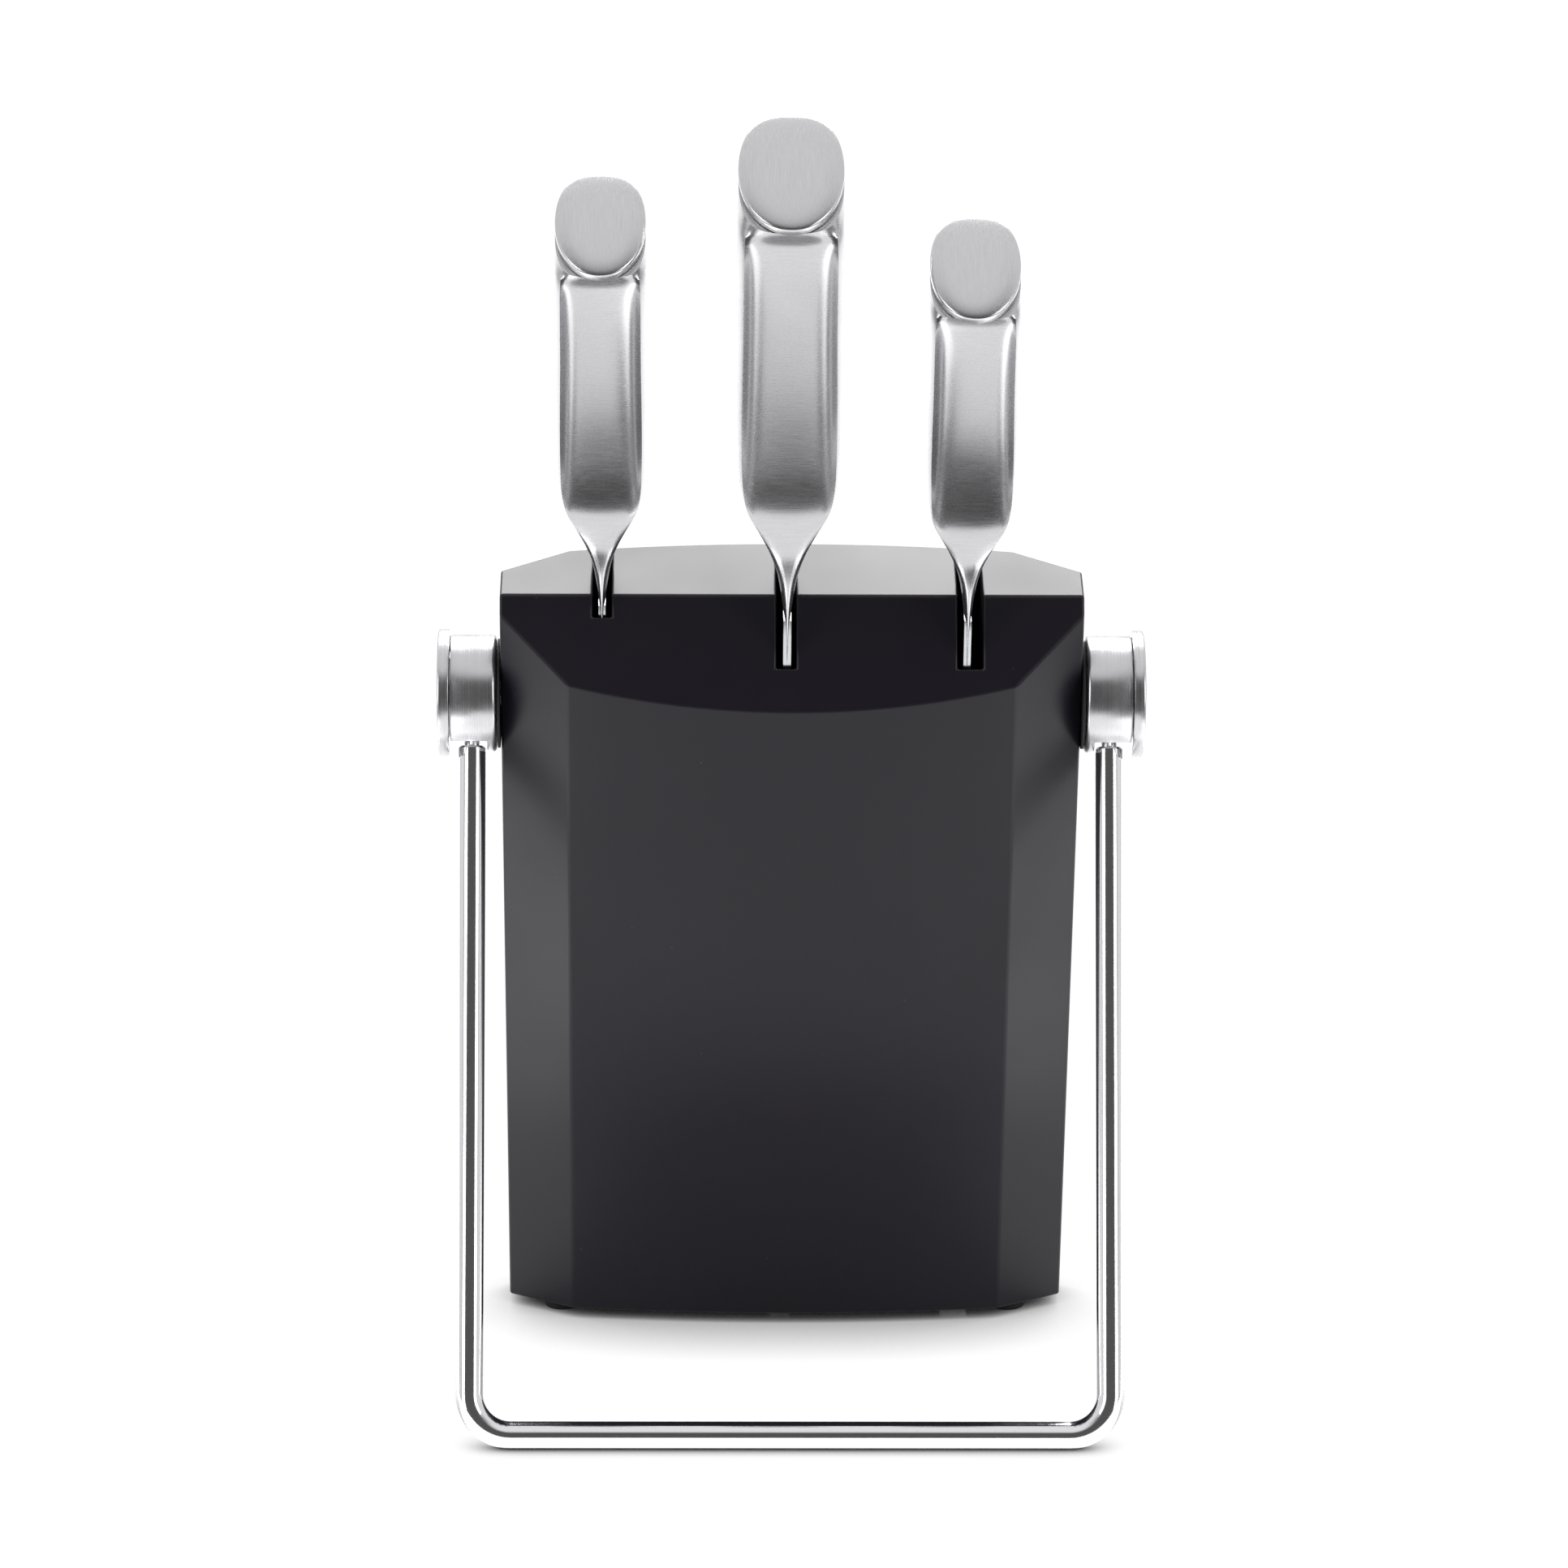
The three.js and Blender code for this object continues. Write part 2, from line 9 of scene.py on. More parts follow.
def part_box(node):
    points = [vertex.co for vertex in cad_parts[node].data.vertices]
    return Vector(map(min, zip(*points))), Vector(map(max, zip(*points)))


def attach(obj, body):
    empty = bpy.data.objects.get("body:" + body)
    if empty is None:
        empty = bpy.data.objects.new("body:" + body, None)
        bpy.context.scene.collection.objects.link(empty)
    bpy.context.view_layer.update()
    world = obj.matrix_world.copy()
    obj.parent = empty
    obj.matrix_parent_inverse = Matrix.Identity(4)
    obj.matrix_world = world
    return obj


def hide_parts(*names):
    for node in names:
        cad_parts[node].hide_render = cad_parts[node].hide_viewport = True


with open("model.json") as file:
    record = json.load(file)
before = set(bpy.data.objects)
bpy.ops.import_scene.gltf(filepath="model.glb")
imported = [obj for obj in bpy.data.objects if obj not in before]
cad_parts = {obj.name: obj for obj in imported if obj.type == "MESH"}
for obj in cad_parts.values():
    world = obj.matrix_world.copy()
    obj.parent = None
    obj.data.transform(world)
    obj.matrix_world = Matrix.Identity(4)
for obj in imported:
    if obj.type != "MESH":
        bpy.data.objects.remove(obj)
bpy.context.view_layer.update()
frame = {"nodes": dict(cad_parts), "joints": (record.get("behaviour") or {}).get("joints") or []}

mm = 0.001
joints = {joint["name"]: joint for joint in frame["joints"]}
pivot = Vector(joints["stand_fold"]["pos_m"])
upBlock = Vector(joints["cooks_draw"]["axis"])  # the way a knife is drawn out
lean = math.atan2(-upBlock.y, upBlock.z)

standLean = 20  # degrees, foot of the rod towards the cook
handleSlant = 31  # degrees, the slanting end of each handle

# Two working frames, both with their origin on the pivot axis. In the block's own, z runs up the block
# and y runs away from the cook. In the stand's own, the rod's arms hang straight down.
blockPlace = Matrix.Translation(pivot) @ Matrix.Rotation(lean, 4, "X")
standPlace = Matrix.Translation(pivot) @ Matrix.Rotation(-math.radians(standLean), 4, "X")


def deselectAll():
    if bpy.context.object and bpy.context.object.mode != "OBJECT":
        bpy.ops.object.mode_set(mode="OBJECT")
    bpy.ops.object.select_all(action="DESELECT")


def workOn(piece):
    deselectAll()
    piece.select_set(True)
    bpy.context.view_layer.objects.active = piece


def newPiece(name, scale=None):
    # names the primitive that was just added, and fixes its size before it is shaped
    piece = bpy.context.object
    piece.name = name
    piece.data.name = name
    if scale:
        piece.scale = scale
    workOn(piece)
    bpy.ops.object.transform_apply(location=True, rotation=True, scale=True)
    return piece


def pick(piece, kind, test):
    # in edit mode: selects the vertices, edges or faces that pass the test, and nothing else
    bpy.ops.mesh.select_mode(type=kind)
    bpy.ops.mesh.select_all(action="DESELECT")
    mesh = bmesh.from_edit_mesh(piece.data)
    found = {"VERT": mesh.verts, "EDGE": mesh.edges, "FACE": mesh.faces}[kind]
    for element in found:
        if test(element):
            element.select_set(True)
    mesh.select_flush_mode()
    bmesh.update_edit_mesh(piece.data)


def cutAway(point, normal, fill=True, clear=True):
    bpy.ops.mesh.select_all(action="SELECT")
    bpy.ops.mesh.bisect(plane_co=point, plane_no=normal, use_fill=fill, clear_outer=clear)


def useModifier(piece, kind, **settings):
    workOn(piece)
    modifier = piece.modifiers.new(kind.lower(), kind)
    for key, value in settings.items():
        setattr(modifier, key, value)
    bpy.ops.object.modifier_apply(modifier=modifier.name)


def subtract(piece, cutter):
    useModifier(piece, "BOOLEAN", operation="DIFFERENCE", solver="EXACT", object=cutter)
    bpy.data.objects.remove(cutter)


def tidyMesh(piece, smoothAngle):
    workOn(piece)
    bpy.ops.object.mode_set(mode="EDIT")
    bpy.ops.mesh.select_all(action="SELECT")
    bpy.ops.mesh.remove_doubles(threshold=0.000002)
    bpy.ops.mesh.normals_make_consistent(inside=False)
    bpy.ops.object.mode_set(mode="OBJECT")
    bpy.ops.object.shade_smooth_by_angle(angle=math.radians(smoothAngle))


def copyOf(piece, name, place):
    # a copy with its own mesh, put in its place
    workOn(piece)
    bpy.ops.object.duplicate(linked=False)
    made = bpy.context.object
    made.name = name
    made.data.name = name
    return settle(made, place)


def settle(piece, place):
    # moves a piece from its working frame to its place and leaves its object at the origin
    mirrored = place.determinant() < 0
    workOn(piece)
    piece.matrix_world = place
    bpy.ops.object.transform_apply(location=True, rotation=True, scale=True)
    if mirrored:
        bpy.ops.object.mode_set(mode="EDIT")
        bpy.ops.mesh.select_all(action="SELECT")
        bpy.ops.mesh.normals_make_consistent(inside=False)
        bpy.ops.object.mode_set(mode="OBJECT")
    return piece


def finishPiece(piece, material, body, nodes):
    piece.data.materials.clear()
    piece.data.materials.append(material)
    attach(piece, body)
    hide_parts(*nodes)


def toLinear(hexColour):
    shares = [int(hexColour[i:i + 2], 16) / 255 for i in (1, 3, 5)]
    return tuple(c / 12.92 if c <= 0.04045 else ((c + 0.055) / 1.055) ** 2.4 for c in shares) + (1.0,)


def addNode(tree, kind, settings=None, links=None):
    node = tree.nodes.new(kind)
    for key, value in (settings or {}).items():
        if isinstance(key, int) or key in node.inputs:
            node.inputs[key].default_value = value
        else:
            setattr(node, key, value)
    for key, source in (links or {}).items():
        tree.links.new(source, node.inputs[key])
    return node


def newMaterial(name):
    material = bpy.data.materials.new(name)
    material.use_nodes = True
    tree = material.node_tree
    return material, tree, tree.nodes["Principled BSDF"]


def makeLacquer():
    # Satin black lacquer, sprayed on a sanded board. It is deep black with a soft sheen that spreads
    # highlights, a faint orange peel, and a few specks of dust caught in the coat.
    look = {"black": "#17141d", "dust": "#4a474c", "peelMm": 1.6, "hazeMm": 45, "dustMm": 7.5,
            "refraction": 1.38}
    material, tree, shader = newMaterial("satinBlackLacquer")
    place = addNode(tree, "ShaderNodeTexCoord").outputs["Object"]
    haze = addNode(tree, "ShaderNodeTexNoise", {"Scale": 1 / (look["hazeMm"] * mm), "Detail": 3},
                   {"Vector": place})
    peel = addNode(tree, "ShaderNodeTexNoise", {"Scale": 1 / (look["peelMm"] * mm), "Detail": 2},
                   {"Vector": place})
    specks = addNode(tree, "ShaderNodeTexVoronoi", {"Scale": 1 / (look["dustMm"] * mm)}, {"Vector": place})
    speckShare = addNode(tree, "ShaderNodeMapRange",
                         {"From Min": 0.02, "From Max": 0.035, "To Min": 0.55, "To Max": 0.0},
                         {"Value": specks.outputs["Distance"]})
    colour = addNode(tree, "ShaderNodeMix", {"data_type": "RGBA", 6: toLinear(look["black"]),
                                             7: toLinear(look["dust"])},
                     {0: speckShare.outputs[0]})
    gloss = addNode(tree, "ShaderNodeMapRange",
                    {"From Min": 0.3, "From Max": 0.7, "To Min": 0.33, "To Max": 0.4},
                    {"Value": haze.outputs["Fac"]})
    bump = addNode(tree, "ShaderNodeBump", {"Strength": 0.06, "Distance": 0.02 * mm},
                   {"Height": peel.outputs["Fac"]})
    tree.links.new(colour.outputs[2], shader.inputs["Base Color"])
    tree.links.new(gloss.outputs[0], shader.inputs["Roughness"])
    tree.links.new(bump.outputs[0], shader.inputs["Normal"])
    shader.inputs["IOR"].default_value = look["refraction"]
    return material


def makeBrushedSteel(name, look):
    # Stainless steel ground with a belt. The grit leaves fine parallel scratches, which run the way of
    # look["run"], so a highlight is smeared across them.
    material, tree, shader = newMaterial(name)
    coordinates = addNode(tree, "ShaderNodeTexCoord").outputs["Object"]
    turned = addNode(tree, "ShaderNodeMapping", {"Rotation": (-look["turn"], 0, 0)}, {"Vector": coordinates})
    fine = [1 / ((look["lengthMm"] if axis == look["run"] else look["gritMm"]) * mm) for axis in "xyz"]
    scratches = addNode(tree, "ShaderNodeMapping", {"Scale": tuple(fine)}, {"Vector": turned.outputs[0]})
    grain = addNode(tree, "ShaderNodeTexNoise", {"Scale": 1.0, "Detail": 4, "Roughness": 0.7},
                    {"Vector": scratches.outputs[0]})
    cloud = addNode(tree, "ShaderNodeTexNoise", {"Scale": 1 / (look["cloudMm"] * mm), "Detail": 3},
                    {"Vector": coordinates})
    tone = addNode(tree, "ShaderNodeMix", {"data_type": "RGBA", 6: toLinear(look["dark"]),
                                           7: toLinear(look["light"])},
                   {0: grain.outputs["Fac"]})
    both = addNode(tree, "ShaderNodeMath", {"operation": "MULTIPLY_ADD", 1: look["cloudShare"]},
                   {0: cloud.outputs["Fac"], 2: grain.outputs["Fac"]})
    gloss = addNode(tree, "ShaderNodeMapRange", {"From Min": 0.3, "From Max": 1.1, "To Min": look["smooth"],
                                                 "To Max": look["rough"]}, {"Value": both.outputs[0]})
    bump = addNode(tree, "ShaderNodeBump", {"Strength": look["depth"], "Distance": 0.02 * mm},
                   {"Height": grain.outputs["Fac"]})
    tree.links.new(tone.outputs[2], shader.inputs["Base Color"])
    tree.links.new(gloss.outputs[0], shader.inputs["Roughness"])
    tree.links.new(bump.outputs[0], shader.inputs["Normal"])
    shader.inputs["Metallic"].default_value = 1.0
    return material


def makeTurnedSteel():
    # Stainless barrel, turned on a lathe and rubbed with a fine pad. The marks run round the pivot axis,
    # so they are rings on the end faces and hoops on the barrel.
    look = {"dark": "#b4b3b5", "light": "#dedde0", "hoopMm": 0.16, "ringMm": 0.22, "rough": 0.34,
            "smooth": 0.2}
    material, tree, shader = newMaterial("turnedBarrelSteel")
    coordinates = addNode(tree, "ShaderNodeTexCoord").outputs["Object"]
    centred = addNode(tree, "ShaderNodeMapping", {"Location": tuple(-pivot)}, {"Vector": coordinates})
    parts = addNode(tree, "ShaderNodeSeparateXYZ", links={0: centred.outputs[0]})
    flat = addNode(tree, "ShaderNodeCombineXYZ", links={1: parts.outputs[1], 2: parts.outputs[2]})
    radius = addNode(tree, "ShaderNodeVectorMath", {"operation": "LENGTH"}, {0: flat.outputs[0]})
    rings = addNode(tree, "ShaderNodeMath", {"operation": "DIVIDE", 1: look["ringMm"] * mm},
                    {0: radius.outputs["Value"]})
    hoops = addNode(tree, "ShaderNodeMath", {"operation": "DIVIDE", 1: look["hoopMm"] * mm},
                    {0: parts.outputs[0]})
    lathe = addNode(tree, "ShaderNodeCombineXYZ", links={0: rings.outputs[0], 1: hoops.outputs[0]})
    marks = addNode(tree, "ShaderNodeTexNoise", {"Scale": 1.0, "Detail": 3, "Roughness": 0.6},
                    {"Vector": lathe.outputs[0]})
    blotch = addNode(tree, "ShaderNodeTexNoise", {"Scale": 1 / (5 * mm), "Detail": 4},
                     {"Vector": coordinates})
    both = addNode(tree, "ShaderNodeMath", {"operation": "MULTIPLY_ADD", 1: 0.6},
                   {0: blotch.outputs["Fac"], 2: marks.outputs["Fac"]})
    tone = addNode(tree, "ShaderNodeMix", {"data_type": "RGBA", 6: toLinear(look["dark"]),
                                           7: toLinear(look["light"])},
                   {0: marks.outputs["Fac"]})
    gloss = addNode(tree, "ShaderNodeMapRange", {"From Min": 0.5, "From Max": 1.1, "To Min": look["smooth"],
                                                 "To Max": look["rough"]}, {"Value": both.outputs[0]})
    bump = addNode(tree, "ShaderNodeBump", {"Strength": 0.25, "Distance": 0.02 * mm},
                   {"Height": marks.outputs["Fac"]})
    tree.links.new(tone.outputs[2], shader.inputs["Base Color"])
    tree.links.new(gloss.outputs[0], shader.inputs["Roughness"])
    tree.links.new(bump.outputs[0], shader.inputs["Normal"])
    shader.inputs["Metallic"].default_value = 1.0
    return material


def makePolishedRod():
    # Drawn steel rod, polished and plated. It mirrors the room, with faint waves left by the polishing
    # wheel and a few hairline scuffs.
    look = {"steel": "#e4e4e6", "scuff": "#bdbdc0", "waveMm": 9, "scuffMm": 1.2}
    material, tree, shader = newMaterial("polishedRodSteel")
    place = addNode(tree, "ShaderNodeTexCoord").outputs["Object"]
    waves = addNode(tree, "ShaderNodeTexNoise", {"Scale": 1 / (look["waveMm"] * mm), "Detail": 2},
                    {"Vector": place})
    scuffs = addNode(tree, "ShaderNodeTexNoise",
                     {"Scale": 1 / (look["scuffMm"] * mm), "Detail": 5, "Roughness": 0.7},
                     {"Vector": place})
    scuffShare = addNode(tree, "ShaderNodeMapRange",
                         {"From Min": 0.6, "From Max": 0.75, "To Min": 0.0, "To Max": 0.5},
                         {"Value": scuffs.outputs["Fac"]})
    tone = addNode(tree, "ShaderNodeMix", {"data_type": "RGBA", 6: toLinear(look["steel"]),
                                           7: toLinear(look["scuff"])},
                   {0: scuffShare.outputs[0]})
    gloss = addNode(tree, "ShaderNodeMapRange",
                    {"From Min": 0.3, "From Max": 0.75, "To Min": 0.06, "To Max": 0.16},
                    {"Value": scuffs.outputs["Fac"]})
    bump = addNode(tree, "ShaderNodeBump", {"Strength": 0.15, "Distance": 0.05 * mm},
                   {"Height": waves.outputs["Fac"]})
    tree.links.new(tone.outputs[2], shader.inputs["Base Color"])
    tree.links.new(gloss.outputs[0], shader.inputs["Roughness"])
    tree.links.new(bump.outputs[0], shader.inputs["Normal"])
    shader.inputs["Metallic"].default_value = 1.0
    return material


def makePlain(name, look):
    # Small parts that mostly stay out of sight: an even colour, mottled as the real stuff is.
    material, tree, shader = newMaterial(name)
    place = addNode(tree, "ShaderNodeTexCoord").outputs["Object"]
    mottle = addNode(tree, "ShaderNodeTexNoise", {"Scale": 1 / (look["mottleMm"] * mm), "Detail": 4},
                     {"Vector": place})
    tone = addNode(tree, "ShaderNodeMix", {"data_type": "RGBA", 6: toLinear(look["dark"]),
                                           7: toLinear(look["light"])},
                   {0: mottle.outputs["Fac"]})
    gloss = addNode(tree, "ShaderNodeMapRange", {"From Min": 0.3, "From Max": 0.7, "To Min": look["smooth"],
                                                 "To Max": look["rough"]}, {"Value": mottle.outputs["Fac"]})
    bump = addNode(tree, "ShaderNodeBump", {"Strength": 0.2, "Distance": 0.03 * mm},
                   {"Height": mottle.outputs["Fac"]})
    tree.links.new(tone.outputs[2], shader.inputs["Base Color"])
    tree.links.new(gloss.outputs[0], shader.inputs["Roughness"])
    tree.links.new(bump.outputs[0], shader.inputs["Normal"])
    shader.inputs["Metallic"].default_value = look["metallic"]
    return material


lacquer = makeLacquer()
handleSteel = makeBrushedSteel("brushedHandleSteel", {
    "dark": "#adacae", "light": "#cdcccf", "turn": lean, "run": "x", "lengthMm": 8, "gritMm": 0.24,
    "cloudMm": 14, "cloudShare": 0.5, "smooth": 0.17, "rough": 0.33, "depth": 0.34})
capSteel = makeBrushedSteel("brushedCapSteel", {
    "dark": "#b9b8ba", "light": "#dcdbdd", "turn": lean + math.radians(handleSlant), "run": "y",
    "lengthMm": 7, "gritMm": 0.2, "cloudMm": 10, "cloudShare": 0.5, "smooth": 0.16, "rough": 0.32,
    "depth": 0.3})
bladeSteel = makeBrushedSteel("groundBladeSteel", {
    "dark": "#aeb0b2", "light": "#d2d4d6", "turn": lean, "run": "y", "lengthMm": 12, "gritMm": 0.25,
    "cloudMm": 30, "cloudShare": 0.4, "smooth": 0.16, "rough": 0.3, "depth": 0.2})
barrelSteel = makeTurnedSteel()
rodSteel = makePolishedRod()
machinedSteel = makePlain("machinedSteel", {
    "dark": "#8a8a8c", "light": "#a8a8aa", "mottleMm": 1.5, "smooth": 0.25, "rough": 0.4, "metallic": 1.0})
footRubber = makePlain("mattBlackRubber", {
    "dark": "#161617", "light": "#242425", "mottleMm": 0.8, "smooth": 0.75, "rough": 0.92, "metallic": 0.0})
bushNylon = makePlain("naturalNylon", {
    "dark": "#d8d3c4", "light": "#e8e4d8", "mottleMm": 2.5, "smooth": 0.45, "rough": 0.6, "metallic": 0.0})
insertBrass = makePlain("machinedBrass", {
    "dark": "#a98443", "light": "#c29c57", "mottleMm": 1.5, "smooth": 0.22, "rough": 0.38, "metallic": 1.0})
print("materials made")


blockSize = {
    "halfWidth": 74, "sideFlat": 7.8, "bevelWidth": 17.2, "bevelDepth": 10.7, "bulge": 4, "strips": 24,
    "top": 31.6, "length": 240, "ridge": 4.8, "slope": 53.5, "footGap": 3, "edgeRadius": 0.9,
    "insertRadius": 4.6, "insertDepth": 14.3}

# each knife's slot and sizes, in millimetres: across is the slot's middle, spine its front end
knives = {
    "utility": {"across": -48.1, "offset": 0, "spine": 8.1, "slotWidth": 4.8, "slotDepth": 24.6,
                "width": 22.8, "depth": 25, "above": 106.8, "bladeLength": 135, "bladeWidth": 22,
                "thickness": 1.8},
    "cooks": {"across": -1.5, "offset": 0.2, "spine": 15.8, "slotWidth": 5, "slotDepth": 33.8,
              "width": 26.4, "depth": 28.6, "above": 125, "bladeLength": 200, "bladeWidth": 32,
              "thickness": 2},
    "paring": {"across": 45.1, "offset": -0.9, "spine": 15.8, "slotWidth": 6.4, "slotDepth": 33.8,
               "width": 22.8, "depth": 25, "above": 99.2, "bladeLength": 95, "bladeWidth": 20,
               "thickness": 1.8},
}


def makeBlock():
    size = blockSize
    halfWidth, sideFlat = size["halfWidth"] * mm, size["sideFlat"] * mm
    bevelWidth, bevelDepth, bulge = size["bevelWidth"] * mm, size["bevelDepth"] * mm, size["bulge"] * mm
    corner = sideFlat + bevelDepth
    top, length = size["top"] * mm, size["length"] * mm
    deselectAll()
    bpy.ops.mesh.primitive_cube_add(size=1, location=(0, 0, top - length / 2))
    block = newPiece("blockShell", (2 * halfWidth, 2 * corner, length))
    bpy.ops.object.mode_set(mode="EDIT")
    for sideX in (-1, 1):
        for sideY in (-1, 1):
            cutAway((sideX * halfWidth, sideY * sideFlat, 0), (sideX * bevelDepth, sideY * bevelWidth, 0))

    # the front and back are cut into strips, and each cut is moved out to the swollen face
    flatEdge = halfWidth - bevelWidth
    swell = (flatEdge ** 2 + bulge ** 2) / (2 * bulge)
    cuts = [flatEdge * (2 * step / size["strips"] - 1) for step in range(1, size["strips"])]
    for x in cuts:
        cutAway((x, 0, 0), (1, 0, 0), fill=False, clear=False)
    for x in cuts:
        out = math.sqrt(swell ** 2 - x ** 2) - (swell - bulge)
        for sideY in (-1, 1):
            pick(block, "VERT", lambda v: abs(v.co.x - x) < 1e-5 and v.co.y * sideY > corner - 1e-5)
            bpy.ops.transform.translate(value=(0, sideY * out, 0))

    slope = math.radians(size["slope"])
    cutAway((0, -size["ridge"] * mm, top), (0, -math.sin(slope), math.cos(slope)))
    toBlock = blockPlace.inverted()
    underside = toBlock @ Vector((0, pivot.y, size["footGap"] * mm))
    cutAway(underside, toBlock.to_3x3() @ Vector((0, 0, -1)))
    bpy.ops.object.mode_set(mode="OBJECT")

    for knife in knives.values():
        middle = (knife["slotDepth"] / 2 - knife["spine"]) * mm
        bpy.ops.mesh.primitive_cube_add(size=1, location=(knife["across"] * mm, middle, 0))
        cutter = newPiece("slotCutter", (knife["slotWidth"] * mm, knife["slotDepth"] * mm, 3 * length))
        subtract(block, cutter)
    for side in (-1, 1):
        middle = side * (size["halfWidth"] - size["insertDepth"] / 2 + 0.5) * mm
        bpy.ops.mesh.primitive_cylinder_add(vertices=32, radius=size["insertRadius"] * mm,
                                            depth=(size["insertDepth"] + 1) * mm, location=(middle, 0, 0),
                                            rotation=(0, math.radians(90), 0))
        subtract(block, newPiece("insertCutter"))

    tidyMesh(block, 15)
    useModifier(block, "BEVEL", width=size["edgeRadius"] * mm, segments=3, limit_method="ANGLE",
                angle_limit=math.radians(20), use_clamp_overlap=True)
    useModifier(block, "WEIGHTED_NORMAL", weight=100, keep_sharp=False)
    settle(block, blockPlace)
    finishPiece(block, lacquer, "block", ["block_body"])


makeBlock()
print("block made")


# Each knife is worked on in its own frame: z runs up the handle from the block's top face, and y runs from
# the spine to the edge.

handleShape = {
    "around": 20,
    # one side of the ring, every 18 degrees from straight ahead: share of half width, share of half depth
    "gripRing": [(0.42, 1.0), (0.71, 1.0), (0.875, 1.0), (0.985, 0.66), (1.0, 0.05), (0.985, 0.42),
                 (0.91, 0.7), (0.72, 0.88), (0.4, 0.97)],
    "ovalRing": [(0.32, 0.97), (0.6, 0.85), (0.82, 0.64), (0.95, 0.36), (0.99, 0.03), (0.96, 0.37),
                 (0.84, 0.65), (0.62, 0.86), (0.33, 0.97)],
    "channelFoot": 0.8, "channelMiddle": 1.06, "crestCrease": 0.8, "plate": 2.2, "dome": 2.0,
    "drawnWidth": 26.4, "backShare": 0.9, "spinePlay": 0.4, "heel": 1.5, "crestFrom": 12, "crestTo": 0.86,
    # height in mm for a 26.4 mm wide handle, half width (share), front (mm), back (share of the depth),
    # channel depth (mm), and how oval the ring is
    "neck": [
        (-22, 0.02, 0.0, 1.0, 0.0, 1.0), (-6, 0.05, -0.4, 1.0, 0.0, 1.0),
        (0, 0.1, -1.1, 1.0, 0.0, 1.0), (6.5, 0.178, -1.6, 0.97, 0.0, 0.9),
        (10, 0.227, -1.5, 0.95, 0.0, 0.8), (13.5, 0.3, -0.9, 0.93, 0.0, 0.6),
        (17, 0.4, -0.3, 0.91, 0.1, 0.4), (20.6, 0.525, -0.5, 0.89, 0.1, 0.25),
        (25.5, 0.71, -1.2, 0.87, 0.2, 0.1), (29.7, 0.89, -1.7, 0.86, 0.6, 0.0),
        (34.6, 0.98, -1.7, 0.86, 1.7, 0.0), (40, 1.02, -1.4, 0.87, 2.8, 0.0)],
    # height as a share of the handle's from here on
    "grip": [
        (0.46, 1.03, -0.2, 0.9, 3.8, 0.0), (0.6, 1.0, 0.5, 0.92, 3.8, 0.0),
        (0.72, 1.0, 0.5, 0.88, 3.6, 0.0), (0.79, 1.0, 0.0, 0.87, 3.3, 0.0),
        (0.825, 1.0, -0.6, 0.88, 2.5, 0.2), (0.845, 1.0, -1.1, 0.89, 0.7, 0.6),
        (0.87, 1.0, -1.5, 0.9, 0.1, 0.9), (0.97, 1.0, -2.1, 0.94, 0.0, 1.0),
        (1.12, 0.98, -2.8, 0.95, 0.0, 1.0)],
}


def knifePlace(knife):
    shift = ((knife["across"] + knife["offset"]) * mm, (handleShape["spinePlay"] - knife["spine"]) * mm,
             blockSize["top"] * mm)
    return blockPlace @ Matrix.Translation(shift)


def handleSections(knife):
    # (height, half width, front, back, channel, oval) in metres, from the slot to above the end
    scale = knife["width"] / handleShape["drawnWidth"]
    made = []
    for height, half, front, back, channel, oval in handleShape["neck"]:
        deep = knife["depth"] * back if height > 0 else knife["bladeWidth"] - handleShape["heel"]
        made.append((height * (scale if height > 0 else 1), half, front, deep, channel, oval))
    for share, half, front, back, channel, oval in handleShape["grip"]:
        made.append((knife["above"] * share, half, front, knife["depth"] * back, channel, oval))
    return [(z * mm, half * knife["width"] / 2 * mm, front * mm, back * mm, channel * mm, oval)
            for z, half, front, back, channel, oval in made]


def pickRing(skin, z, half, middle, share, front):
    # the vertices of one ring that stand at one share of its half width, in front or at the back
    pick(skin, "VERT", lambda v: abs(v.co.z - z) < 1e-6 and (v.co.y < middle) == front
         and abs(abs(v.co.x) / half - share) < 0.006)


